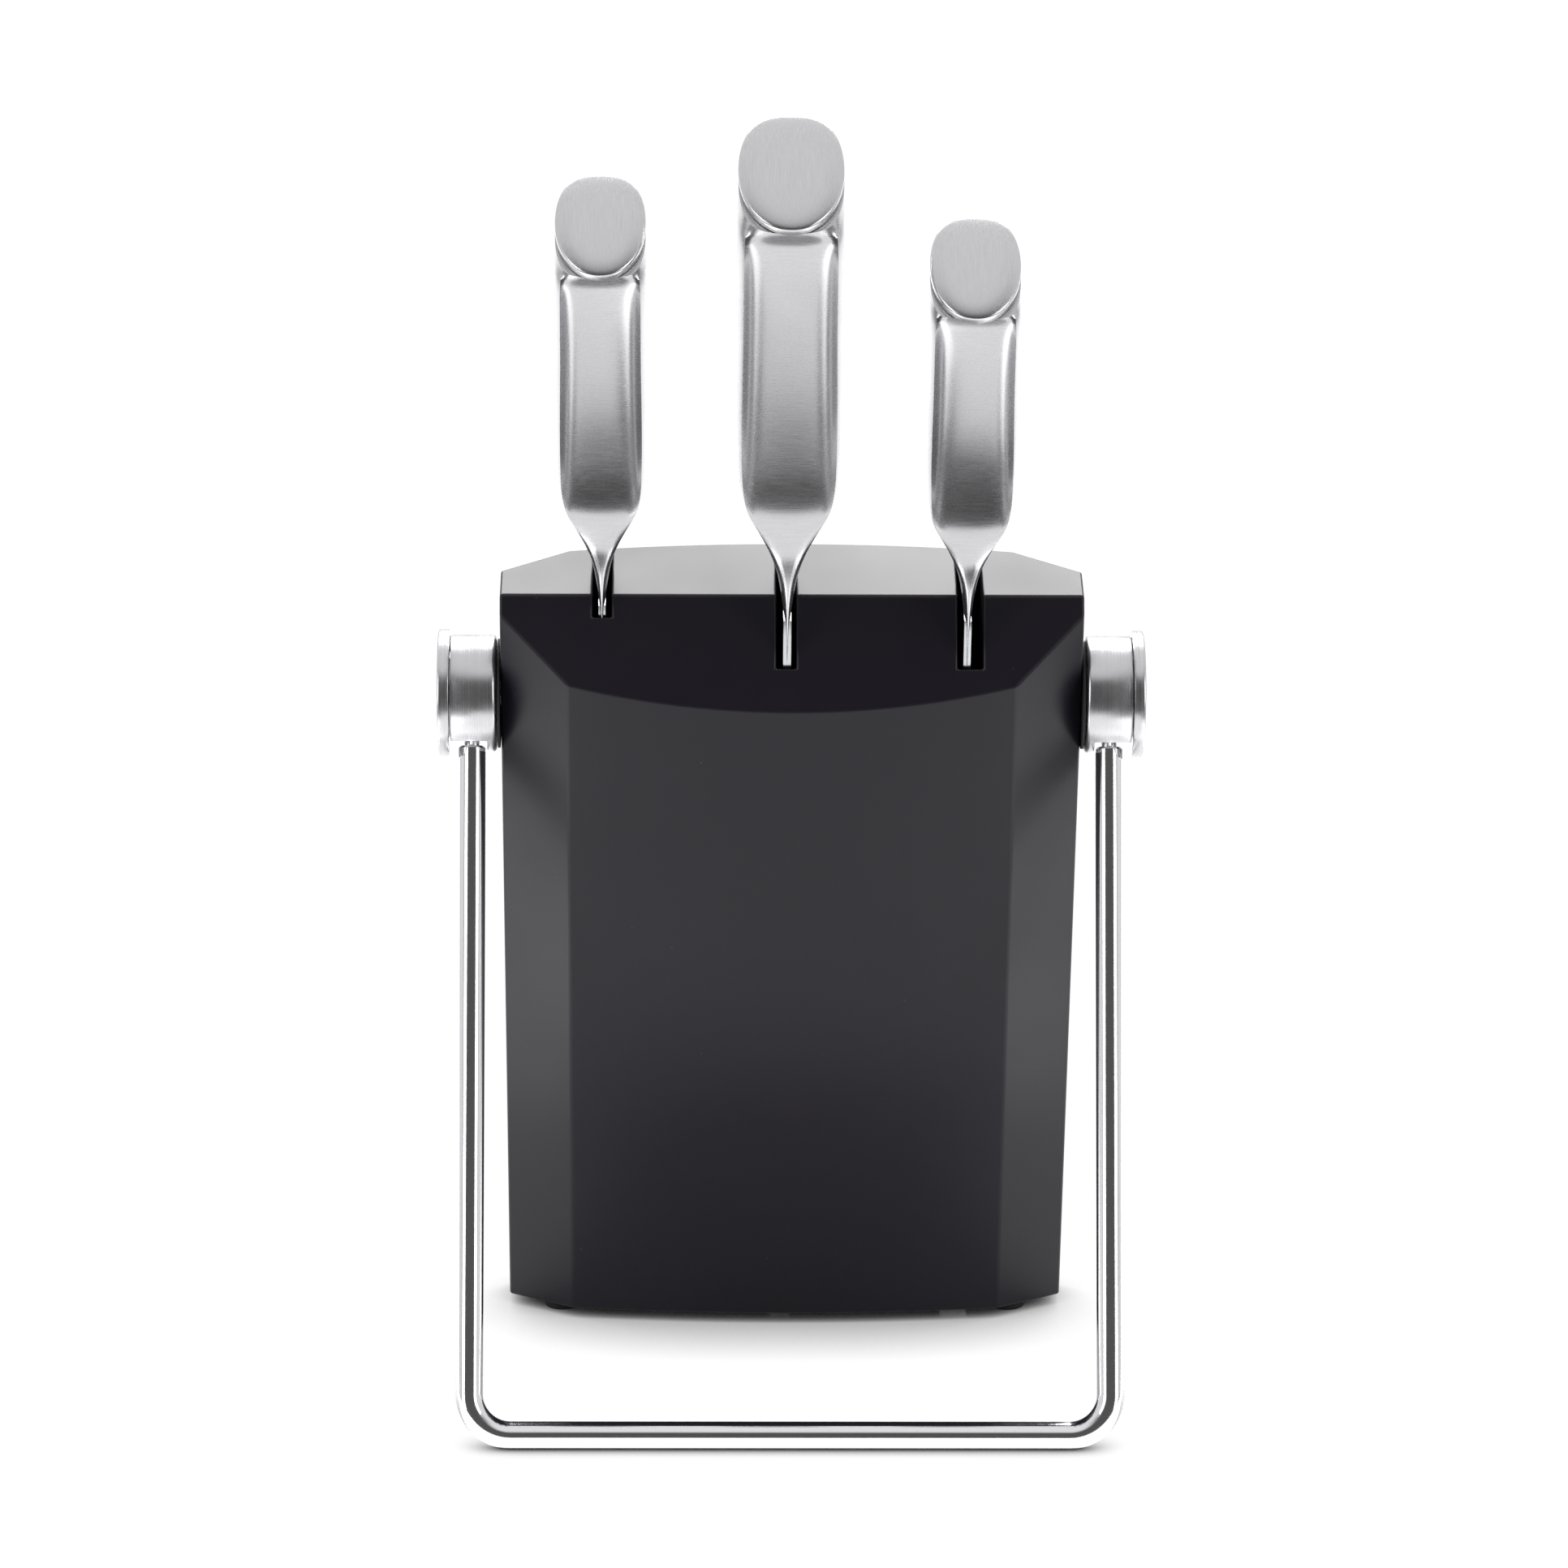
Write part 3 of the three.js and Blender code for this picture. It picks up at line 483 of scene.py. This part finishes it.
def makeSkin(name, knife):
    shape = handleShape
    sections = handleSections(knife)
    deselectAll()
    bpy.ops.mesh.primitive_circle_add(vertices=shape["around"], radius=1, fill_type="NGON")
    skin = newPiece(name)
    bpy.ops.object.mode_set(mode="EDIT")

    # the ring becomes a rounded box with two crests in front
    for step, (x, y) in enumerate(shape["gripRing"], 1):
        angle = math.radians(18 * step)
        pick(skin, "VERT", lambda v: abs(abs(v.co.x) - math.sin(angle)) < 1e-3
             and abs(-v.co.y - math.cos(angle)) < 1e-3)
        if step == 5:
            bpy.ops.transform.translate(value=(0, -y, 0))
        else:
            bpy.ops.transform.resize(value=(x / math.sin(angle), y / abs(math.cos(angle)), 1),
                                     center_override=(0, 0, 0))
    bpy.ops.mesh.select_all(action="SELECT")
    z, half, front, back, channel, oval = sections[0]
    bpy.ops.transform.resize(value=(half, (back - front) / 2, 1), center_override=(0, 0, 0))
    bpy.ops.transform.translate(value=(0, (front + back) / 2, z))

    bpy.ops.mesh.select_mode(type="FACE")
    bpy.ops.mesh.select_all(action="SELECT")
    for before, now in zip(sections, sections[1:]):
        z, half, front, back = now[:4]
        bpy.ops.mesh.extrude_region_move(TRANSFORM_OT_translate={
            "value": (0, (front + back - before[2] - before[3]) / 2, z - before[0])})
        bpy.ops.transform.resize(value=(half / before[1], (back - front) / (before[3] - before[2]), 1),
                                 center_override=(0, (front + back) / 2, z))

    # ring by ring the channel is sunk, and the rings of the neck and the end are rounded
    for z, half, front, back, channel, oval in sections:
        middle, deep = (front + back) / 2, (back - front) / 2
        for step, ((x, y), (ovalX, ovalY)) in enumerate(zip(shape["gripRing"], shape["ovalRing"]), 1):
            inFront = step <= 5
            sink = {1: channel, 2: channel * shape["channelFoot"]}.get(step, 0)
            if oval or sink:
                pickRing(skin, z, half, middle, x, inFront)
                sign = -1 if inFront else 1
                move = sign * oval * (ovalY - y) * deep + sink
                bpy.ops.transform.resize(value=(1 + oval * (ovalX / x - 1), 1, 1), center_override=(0, 0, 0))
                bpy.ops.transform.translate(value=(0, move, 0))
        if channel:
            pickRing(skin, z, half, middle, 0, True)
            bpy.ops.transform.translate(value=(0, shape["channelMiddle"] * channel, 0))

    lowest, highest = shape["crestFrom"] * mm, shape["crestTo"] * knife["above"] * mm

    def onCrest(edge):
        a, b = (vert.co for vert in edge.verts)
        if abs(a.z - b.z) < 1e-6 or not lowest <= max(a.z, b.z) <= highest:
            return False
        level = min(sections, key=lambda section: abs(section[0] - a.z))
        return a.y < (level[2] + level[3]) / 2 and 0.8 < abs(a.x) / level[1] < 0.92

    pick(skin, "EDGE", onCrest)
    bpy.ops.transform.edge_crease(value=shape["crestCrease"])
    bpy.ops.object.mode_set(mode="OBJECT")
    useModifier(skin, "SUBSURF", levels=2, render_levels=2)
    return skin


def endPlane(knife, lift):
    # a point on the slanting end and its normal; lift is along the normal
    slant = math.radians(handleSlant)
    normal = Vector((0, -math.sin(slant), math.cos(slant)))
    return Vector((0, handleShape["backShare"] * knife["depth"],
                   knife["above"])) * mm + normal * lift * mm, normal


def makeHandle(name, knife):
    handle = makeSkin(name + "Handle", knife)
    # the handle's end is cut off on the slant, under the plate
    workOn(handle)
    bpy.ops.object.mode_set(mode="EDIT")
    cutAway(*endPlane(knife, -handleShape["plate"] - 0.1))
    bpy.ops.object.mode_set(mode="OBJECT")
    tidyMesh(handle, 32)
    settle(handle, knifePlace(knife))
    finishPiece(handle, handleSteel, name + "_knife", [name + "_handle_shell"])


plateShape = {
    # one side of the outline, every 22.5 degrees from the front: share of half width, share of half length
    "ring": [(0.36, 0.95), (0.7, 0.74), (0.935, 0.42), (1.02, -0.02), (0.97, 0.47), (0.76, 0.82),
             (0.42, 0.98)],
    "front": 2.0, "lip": 0.5, "backLip": 0.9, "narrower": 0.985, "foot": 0.25,
    # the cage of the dome: share of the outline, share of the dome's height
    "cage": [(1.0, 0.12), (0.965, 0.26), (0.88, 0.46), (0.7, 0.76), (0.42, 0.95), (0.18, 1.0)]}


def makePlate(name, knife):
    # an oval disc, domed, with a rounded lip that stands a little proud of the handle in front
    shape = plateShape
    slant = math.radians(handleSlant)
    depth, dome = handleShape["plate"] * mm, handleShape["dome"] * mm
    front = (-shape["front"] - shape["lip"]) * mm
    handleBack = handleShape["backShare"] * knife["depth"]
    foot = shape["foot"] * mm
    back = (handleBack + shape["backLip"]) * mm
    longHalf = (back - front) / 2 / math.cos(slant)
    wideHalf = knife["width"] / 2 * mm * shape["narrower"]
    deselectAll()
    bpy.ops.mesh.primitive_circle_add(vertices=16, radius=1, fill_type="NGON")
    plate = newPiece(name + "Plate")
    bpy.ops.object.mode_set(mode="EDIT")
    for step, (x, y) in enumerate(shape["ring"], 1):
        angle = math.radians(22.5 * step)
        pick(plate, "VERT", lambda v: abs(abs(v.co.x) - math.sin(angle)) < 1e-3
             and abs(-v.co.y - math.cos(angle)) < 1e-3)
        if step == 4:
            bpy.ops.transform.translate(value=(0, -y, 0))
            bpy.ops.transform.resize(value=(x, 1, 1), center_override=(0, 0, 0))
        else:
            bpy.ops.transform.resize(value=(x / math.sin(angle), y / abs(math.cos(angle)), 1),
                                     center_override=(0, 0, 0))
    bpy.ops.mesh.select_all(action="SELECT")
    bpy.ops.transform.resize(value=(wideHalf, longHalf, 1), center_override=(0, 0, 0))
    bpy.ops.mesh.select_mode(type="FACE")
    bpy.ops.mesh.select_all(action="SELECT")
    bpy.ops.mesh.extrude_region_move(TRANSFORM_OT_translate={"value": (0, 0, foot)})
    before, height = 1, 0
    for share, lift in shape["cage"]:
        rise = (depth - foot if height == 0 else 0) + (lift - height) * dome
        bpy.ops.mesh.extrude_region_move(TRANSFORM_OT_translate={"value": (0, 0, rise)})
        bpy.ops.transform.resize(value=(share / before, share / before, 1), center_override=(0, 0, 0))
        before, height = share, lift
    bpy.ops.object.mode_set(mode="OBJECT")
    useModifier(plate, "SUBSURF", levels=3, render_levels=3)
    tidyMesh(plate, 60)
    middle = Vector((0, (front + back) / 2, knife["above"] * mm))
    middle.z -= (handleBack * mm - middle.y) * math.tan(slant)
    onSlant = Matrix.Translation(middle) @ Matrix.Rotation(slant, 4, "X") @ Matrix.Translation((0, 0, -depth))
    settle(plate, knifePlace(knife) @ onSlant)
    finishPiece(plate, capSteel, name + "_knife", [name + "_butt_cap"])


bladeShape = {"start": 2, "past": 4, "spineIn": 0.5, "rows": 26, "columns": 5, "spineDrop": 0.28,
              "dropFrom": 0.6, "tipWidth": 0.04, "tipThinner": 0.5, "curveFrom": 0.42, "curvePower": 2.6,
              "flatShare": 0.2, "edgeHalf": 0.06, "edgeRound": 0.15}


def makeBlade(name, knife):
    # a grid stood on edge, with each row drawn in to the blade's outline, then thickened and ground
    shape = bladeShape
    length = (knife["bladeLength"] + shape["past"] - shape["start"]) * mm
    width = (knife["bladeWidth"] - shape["spineIn"]) * mm
    thick = knife["thickness"] * mm
    top = -shape["start"] * mm
    deselectAll()
    bpy.ops.mesh.primitive_grid_add(x_subdivisions=shape["rows"], y_subdivisions=shape["columns"], size=1,
                                    rotation=(0, math.radians(90), 0))
    blade = newPiece(name + "Blade")
    bpy.ops.object.mode_set(mode="EDIT")
    bpy.ops.mesh.select_all(action="SELECT")
    bpy.ops.transform.resize(value=(1, width, length), center_override=(0, 0, 0))
    bpy.ops.transform.translate(value=(0, width / 2, top - length / 2))
    for row in range(shape["rows"] + 1):
        share = row / shape["rows"]
        z = top - length * share
        drop = shape["spineDrop"] * max(0, (share - shape["dropFrom"]) / (1 - shape["dropFrom"])) ** 2
        curved = max(0, (share - shape["curveFrom"]) / (1 - shape["curveFrom"])) ** shape["curvePower"]
        rise = (1 - shape["spineDrop"] - shape["tipWidth"]) * curved
        held = drop / (drop + rise) * width if drop + rise else 0
        pick(blade, "VERT", lambda v: abs(v.co.z - z) < 1e-5)
        bpy.ops.transform.resize(value=(1, 1 - drop - rise, 1), center_override=(0, held, z))
    bpy.ops.object.mode_set(mode="OBJECT")
    useModifier(blade, "SOLIDIFY", thickness=thick, offset=0)
    workOn(blade)
    bpy.ops.object.mode_set(mode="EDIT")
    for row in range(shape["rows"] + 1):
        share = row / shape["rows"]
        z = top - length * share
        # each row is ground thin towards its edge, and the blade thins towards its point
        mesh = bmesh.from_edit_mesh(blade.data)
        inRow = [v.co.y for v in mesh.verts if abs(v.co.z - z) < 1e-5]
        low, high = min(inRow), max(inRow)
        taper = 1 - shape["tipThinner"] * share ** 2
        for column in range(shape["columns"] + 1):
            y = low + (high - low) * column / shape["columns"]
            ground = max(0, (column / shape["columns"] - shape["flatShare"]) / (1 - shape["flatShare"]))
            half = taper * (1 - ground) + shape["edgeHalf"] * ground
            pick(blade, "VERT", lambda v: abs(v.co.z - z) < 1e-5 and abs(v.co.y - y) < 1e-5)
            bpy.ops.transform.resize(value=(half, 1, 1), center_override=(0, y, z))
    bpy.ops.object.mode_set(mode="OBJECT")
    useModifier(blade, "BEVEL", width=shape["edgeRound"] * mm, segments=2, limit_method="ANGLE",
                angle_limit=math.radians(60))
    tidyMesh(blade, 30)
    settle(blade, knifePlace(knife) @ Matrix.Translation((0, shape["spineIn"] * mm, 0)))
    finishPiece(blade, bladeSteel, name + "_knife", [name + "_blade"])


for knifeName, knifeSize in knives.items():
    makeHandle(knifeName, knifeSize)
    makePlate(knifeName, knifeSize)
    makeBlade(knifeName, knifeSize)
    print(knifeName, "knife made")


rodSize = {"radius": 3.5, "reach": 189, "armAcross": 81.5, "bend": 10.5, "shoulder": 13.6, "spigot": 2,
           "spigotEnd": 6.5, "chamfer": 0.5, "around": 32, "bendSteps": 14}


def makeRod():
    size = rodSize
    across, bend = size["armAcross"] * mm, size["bend"] * mm
    radius, spigot = size["radius"] * mm, size["spigot"] * mm
    armEnd = -(size["reach"] - size["bend"]) * mm
    top, shoulder = -size["spigotEnd"] * mm, -size["shoulder"] * mm
    quarter = math.radians(90)
    deselectAll()
    bpy.ops.mesh.primitive_circle_add(vertices=size["around"], radius=spigot, fill_type="NGON",
                                      location=(-across, 0, top))
    rod = newPiece("standRod")
    bpy.ops.object.mode_set(mode="EDIT")
    bpy.ops.mesh.select_mode(type="FACE")
    bpy.ops.mesh.select_all(action="SELECT")

    def extrude(x, z):
        bpy.ops.mesh.extrude_region_move(TRANSFORM_OT_translate={"value": (x, 0, z)})

    def resize(share, x, z):
        bpy.ops.transform.resize(value=(share, share, 1), center_override=(x, 0, z))

    chamfer = size["chamfer"] * mm
    extrude(0, shoulder - top)
    extrude(0, 0)
    resize((radius - chamfer) / spigot, -across, shoulder)
    extrude(0, -chamfer)
    resize(radius / (radius - chamfer), -across, shoulder - chamfer)
    extrude(0, armEnd - shoulder + chamfer)
    bpy.ops.mesh.spin(steps=size["bendSteps"], angle=quarter, center=(-across + bend, 0, armEnd),
                      axis=(0, 1, 0))
    extrude(2 * (across - bend), 0)
    bpy.ops.mesh.spin(steps=size["bendSteps"], angle=quarter, center=(across - bend, 0, armEnd),
                      axis=(0, 1, 0))
    extrude(0, shoulder - chamfer - armEnd)
    extrude(0, chamfer)
    resize((radius - chamfer) / radius, across, shoulder)
    extrude(0, 0)
    resize(spigot / (radius - chamfer), across, shoulder)
    extrude(0, top - shoulder)
    bpy.ops.object.mode_set(mode="OBJECT")
    tidyMesh(rod, 40)
    settle(rod, standPlace)
    finishPiece(rod, rodSteel, "stand", ["stand_rod"])


makeRod()

barrelSize = {"start": 75.2, "length": 11.6, "radius": 15, "bore": 11.6, "wallStart": 77.5, "around": 96,
              "windowFrom": -14, "windowTo": 65, "windowReach": 24, "windowPast": 1, "windowEdge": 0.25,
              "innerEdge": 1.0, "capRadius": 16.4, "capThick": 3, "capGap": 0.3, "capEdge": 0.6,
              "capInnerEdge": 0.3, "capSpigot": 1.4}


def makeBarrel():
    # made for the right side, along +X, and mirrored for the left
    size = barrelSize
    length = size["length"] * mm
    start = size["start"] * mm
    deselectAll()
    bpy.ops.mesh.primitive_cylinder_add(vertices=size["around"], radius=size["radius"] * mm, depth=length,
                                        location=(start + length / 2, 0, 0),
                                        rotation=(0, math.radians(90), 0))
    barrel = newPiece("barrelRight")
    bpy.ops.object.mode_set(mode="EDIT")
    pick(barrel, "EDGE", lambda e: all(v.co.x < start + 1e-6 for v in e.verts))
    bpy.ops.mesh.bevel(offset=size["innerEdge"] * mm, segments=4, affect="EDGES")
    pick(barrel, "FACE", lambda f: f.normal.x > 0.99)
    bpy.ops.mesh.inset(thickness=(size["radius"] - size["bore"]) * mm)
    bpy.ops.mesh.extrude_region_move(TRANSFORM_OT_translate={
        "value": (-(size["start"] + size["length"] - size["wallStart"]) * mm, 0, 0)})
    bpy.ops.object.mode_set(mode="OBJECT")

    # the window that the rod swings in: a wedge about the axis, cut through the wall
    windowStart = size["wallStart"] * mm
    windowEnd = start + length + size["windowPast"] * mm
    bpy.ops.mesh.primitive_cylinder_add(vertices=size["around"], radius=size["windowReach"] * mm,
                                        depth=windowEnd - windowStart,
                                        location=((windowStart + windowEnd) / 2, 0, 0),
                                        rotation=(0, math.radians(90), 0))
    wedge = newPiece("windowCutter")
    bpy.ops.object.mode_set(mode="EDIT")
    for angle, keep in ((size["windowFrom"], -1), (size["windowTo"], 1)):
        a = math.radians(angle)
        cutAway((0, 0, 0), (0, -keep * math.cos(a), keep * math.sin(a)))
    bpy.ops.object.mode_set(mode="OBJECT")
    subtract(barrel, wedge)
    useModifier(barrel, "BEVEL", width=size["windowEdge"] * mm, segments=2, limit_method="ANGLE",
                angle_limit=math.radians(50))
    tidyMesh(barrel, 30)
    return barrel


def makeBarrelCap():
    size = barrelSize
    thick = size["capThick"] * mm
    start = (size["start"] + size["length"] + size["capGap"]) * mm
    deselectAll()
    bpy.ops.mesh.primitive_cylinder_add(vertices=size["around"], radius=size["capRadius"] * mm, depth=thick,
                                        location=(start + thick / 2, 0, 0), rotation=(0, math.radians(90), 0))
    cap = newPiece("barrelCapRight")
    bpy.ops.object.mode_set(mode="EDIT")
    pick(cap, "EDGE", lambda e: all(v.co.x > start + thick - 1e-6 for v in e.verts))
    bpy.ops.mesh.bevel(offset=size["capEdge"] * mm, segments=3, affect="EDGES")
    pick(cap, "EDGE", lambda e: all(v.co.x < start + 1e-6 for v in e.verts))
    bpy.ops.mesh.bevel(offset=size["capInnerEdge"] * mm, segments=2, affect="EDGES")
    # the spigot that fits in the barrel's bore
    pick(cap, "FACE", lambda f: f.normal.x < -0.99)
    bpy.ops.mesh.inset(thickness=(size["capRadius"] - size["bore"]) * mm)
    bpy.ops.mesh.extrude_region_move(TRANSFORM_OT_translate={"value": (-size["capSpigot"] * mm, 0, 0)})
    bpy.ops.object.mode_set(mode="OBJECT")
    tidyMesh(cap, 30)
    return cap


mirrorX = Matrix.Scale(-1, 4, (1, 0, 0))
for maker, nodeStem, leftName in ((makeBarrel, "pivot_housing", "barrelLeft"),
                                  (makeBarrelCap, "pivot_cap", "barrelCapLeft")):
    right = maker()
    left = copyOf(right, leftName, blockPlace @ mirrorX)
    settle(right, blockPlace)
    finishPiece(right, barrelSteel, "block", [nodeStem + "_right"])
    finishPiece(left, barrelSteel, "block", [nodeStem + "_left"])
print("stand and pivots made")

footSize = {"radius": 4.5, "height": 2.7, "edge": 0.5}


def makeFeet():
    for node in [n for n in frame["nodes"] if n.startswith("foot_")]:
        low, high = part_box(node)
        middle = (Vector(low) + Vector(high)) / 2
        deselectAll()
        bpy.ops.mesh.primitive_cylinder_add(vertices=48, radius=footSize["radius"] * mm,
                                            depth=footSize["height"] * mm, location=middle)
        foot = newPiece(node.replace("foot_", "footPad_"))
        bpy.ops.object.mode_set(mode="EDIT")
        pick(foot, "EDGE", lambda e: all(v.co.z < middle.z for v in e.verts))
        bpy.ops.mesh.bevel(offset=footSize["edge"] * mm, segments=3, affect="EDGES")
        bpy.ops.object.mode_set(mode="OBJECT")
        tidyMesh(foot, 30)
        finishPiece(foot, footRubber, "block", [node])


makeFeet()

hiddenFinishes = {"threaded_insert": insertBrass, "seat_washer": footRubber, "stop_pin": machinedSteel,
                  "pivot_bolt": machinedSteel, "pivot_hub": machinedSteel, "pivot_bush": bushNylon}
for nodeName, node in frame["nodes"].items():
    for stem, finish in hiddenFinishes.items():
        if nodeName.startswith(stem):
            node.data.materials.clear()
            node.data.materials.append(finish)
print("feet and small parts made")


# The floor's darker grey, which fades to paper white behind, is a painted shadow in front of the block
studio = {"floorWide": 24.0, "floorFront": -0.6, "paper": "#efefef", "table": "#6e6e6e", "paintedContactShadowMm": 44,
          "walls": 0.88, "frontWall": 0.1, "ceiling": 0.92, "white": 1.02, "tableEnds": -0.16,
          "paperStarts": 0.0}


def makeFloor():
    # White paper. The camera sees it as a glowing white with a painted contact shadow close to what touches
    # it; metal and lacquer mirror the lamp-lit floor, which carries a painted shadow grey in front of the
    # block.
    deselectAll()
    wide = studio["floorWide"]
    bpy.ops.mesh.primitive_plane_add(size=wide, location=(0, studio["floorFront"] + wide / 2, 0))
    floor = newPiece("studioFloor")
    material, tree, shader = newMaterial("paperSweepWithPaintedShade")
    place = addNode(tree, "ShaderNodeTexCoord").outputs["Object"]
    parts = addNode(tree, "ShaderNodeSeparateXYZ", links={0: place})
    behind = addNode(tree, "ShaderNodeMapRange",
                     {"interpolation_type": "SMOOTHSTEP", "From Min": studio["tableEnds"],
                      "From Max": studio["paperStarts"]},
                     {"Value": parts.outputs[1]})
    # painted shadow: the diffuse floor is painted dark grey in front of the block, and steel and lacquer
    # mirror it
    tone = addNode(tree, "ShaderNodeMix", {"data_type": "RGBA", 6: toLinear(studio["table"]),
                                           7: toLinear(studio["paper"])}, {0: behind.outputs[0]})
    tree.links.new(tone.outputs[2], shader.inputs["Base Color"])
    shader.inputs["Roughness"].default_value = 0.8
    shader.inputs["Specular IOR Level"].default_value = 0.1
    # painted contact shadow: ambient occlusion darkens the glowing white that the camera sees near anything
    # touching the floor
    paintedContactShade = addNode(tree, "ShaderNodeAmbientOcclusion", {"samples": 16, "Distance": studio["paintedContactShadowMm"] * mm})
    shade = addNode(tree, "ShaderNodeMapRange",
                    {"From Min": 0.05, "From Max": 0.8, "To Min": 0.0, "To Max": 1.0},
                    {"Value": paintedContactShade.outputs["AO"]})
    paintedFloorGlow = addNode(tree, "ShaderNodeEmission", {"Strength": studio["white"]}, {"Color": shade.outputs[0]})
    ray = addNode(tree, "ShaderNodeLightPath")
    either = addNode(tree, "ShaderNodeMixShader",
                     links={0: ray.outputs["Is Camera Ray"], 1: shader.outputs[0], 2: paintedFloorGlow.outputs[0]})
    tree.links.new(either.outputs[0], tree.nodes["Material Output"].inputs["Surface"])
    floor.data.materials.append(material)


def makeRoom():
    # Pale walls and ceiling, and the unlit end of the room behind the camera, which is what steel facing
    # the camera mirrors. The camera itself sees the same white all round.
    world = bpy.data.worlds.new("studioRoom")
    bpy.context.scene.world = world
    world.use_nodes = True
    tree = world.node_tree
    tree.nodes.clear()
    way = addNode(tree, "ShaderNodeTexCoord").outputs["Generated"]
    shade = None
    for aim, fromShare, toShare, tone in (((0, -1.0, 0.0), 0.1, 0.8, studio["frontWall"]),
                                          ((0, -0.35, 0.94), 0.84, 0.985, studio["ceiling"])):
        facing = addNode(tree, "ShaderNodeVectorMath", {"operation": "DOT_PRODUCT", 1: aim}, {0: way})
        share = addNode(tree, "ShaderNodeMapRange",
                        {"interpolation_type": "SMOOTHSTEP", "From Min": fromShare, "From Max": toShare},
                        {"Value": facing.outputs["Value"]})
        shade = addNode(tree, "ShaderNodeMix", {"data_type": "FLOAT", 2: studio["walls"], 3: tone},
                        {0: share.outputs[0], **({2: shade} if shade else {})}).outputs[0]
    room = addNode(tree, "ShaderNodeBackground", links={"Color": shade})
    white = addNode(tree, "ShaderNodeBackground", {"Color": (1, 1, 1, 1), "Strength": studio["white"]})
    ray = addNode(tree, "ShaderNodeLightPath")
    either = addNode(tree, "ShaderNodeMixShader", links={0: ray.outputs["Is Camera Ray"], 1: room.outputs[0],
                                                         2: white.outputs[0]})
    addNode(tree, "ShaderNodeOutputWorld", links={0: either.outputs[0]})


def addSoftbox(name, place, target, size, power):
    deselectAll()
    bpy.ops.object.light_add(type="AREA", location=place)
    lamp = bpy.context.object
    lamp.name = name
    lamp.data.shape = "RECTANGLE"
    lamp.data.size, lamp.data.size_y = size
    lamp.data.energy = power
    lamp.visible_camera = False
    lamp.rotation_euler = (Vector(target) - Vector(place)).to_track_quat("-Z", "Y").to_euler()


# places, targets and sizes in metres, power in watts; the cards lie on the floor and shine up
softboxes = {
    "backSoftbox": {"place": (0, 1.25, 1.4), "target": (0, 0, 0.2), "size": (1.6, 0.8), "power": 40},
    "frontCard": {"place": (0, -0.251, 0.001), "target": (0, -0.251, 1), "size": (0.28, 0.378),
                  "power": 0.38},
    "leftCard": {"place": (-0.24, -0.15, 0.001), "target": (-0.24, -0.15, 1), "size": (0.19, 0.3),
                 "power": 0.42},
    "rightCard": {"place": (0.24, -0.15, 0.001), "target": (0.24, -0.15, 1), "size": (0.19, 0.3),
                  "power": 0.34},
    "leftSoftbox": {"place": (-1.15, -0.95, 0.55), "target": (0, 0, 0.15), "size": (0.55, 1.1), "power": 6},
    "rightSoftbox": {"place": (1.15, -0.95, 0.55), "target": (0, 0, 0.15), "size": (0.55, 1.1), "power": 6},
}

cameraView = {"elevation": 15, "azimuth": 0.9, "roll": 0.35, "distance": 1.65, "lens": 147.9,
              "aimLeft": 1.6, "aimDown": 24.0}


def makeCamera():
    view = cameraView
    elevation, azimuth = math.radians(view["elevation"]), math.radians(view["azimuth"])
    away = Vector((-math.sin(azimuth) * math.cos(elevation), -math.cos(azimuth) * math.cos(elevation),
                   math.sin(elevation)))
    place = pivot + away * view["distance"]
    aim = pivot + Vector((-view["aimLeft"], 0, -view["aimDown"])) * mm
    deselectAll()
    bpy.ops.object.camera_add(location=place)
    camera = bpy.context.object
    camera.name = "studioCamera"
    camera.data.lens = view["lens"]
    camera.data.sensor_width = 36
    camera.data.clip_end = 30
    turn = (aim - place).to_track_quat("-Z", "Y").to_matrix() @ Matrix.Rotation(
        math.radians(view["roll"]), 3, "Z")
    camera.rotation_euler = turn.to_euler()
    bpy.context.scene.camera = camera


makeFloor()
makeRoom()
for softboxName, box in softboxes.items():
    addSoftbox(softboxName, box["place"], box["target"], box["size"], box["power"])
makeCamera()
bpy.context.scene.view_settings.view_transform = "Standard"
print("studio made")
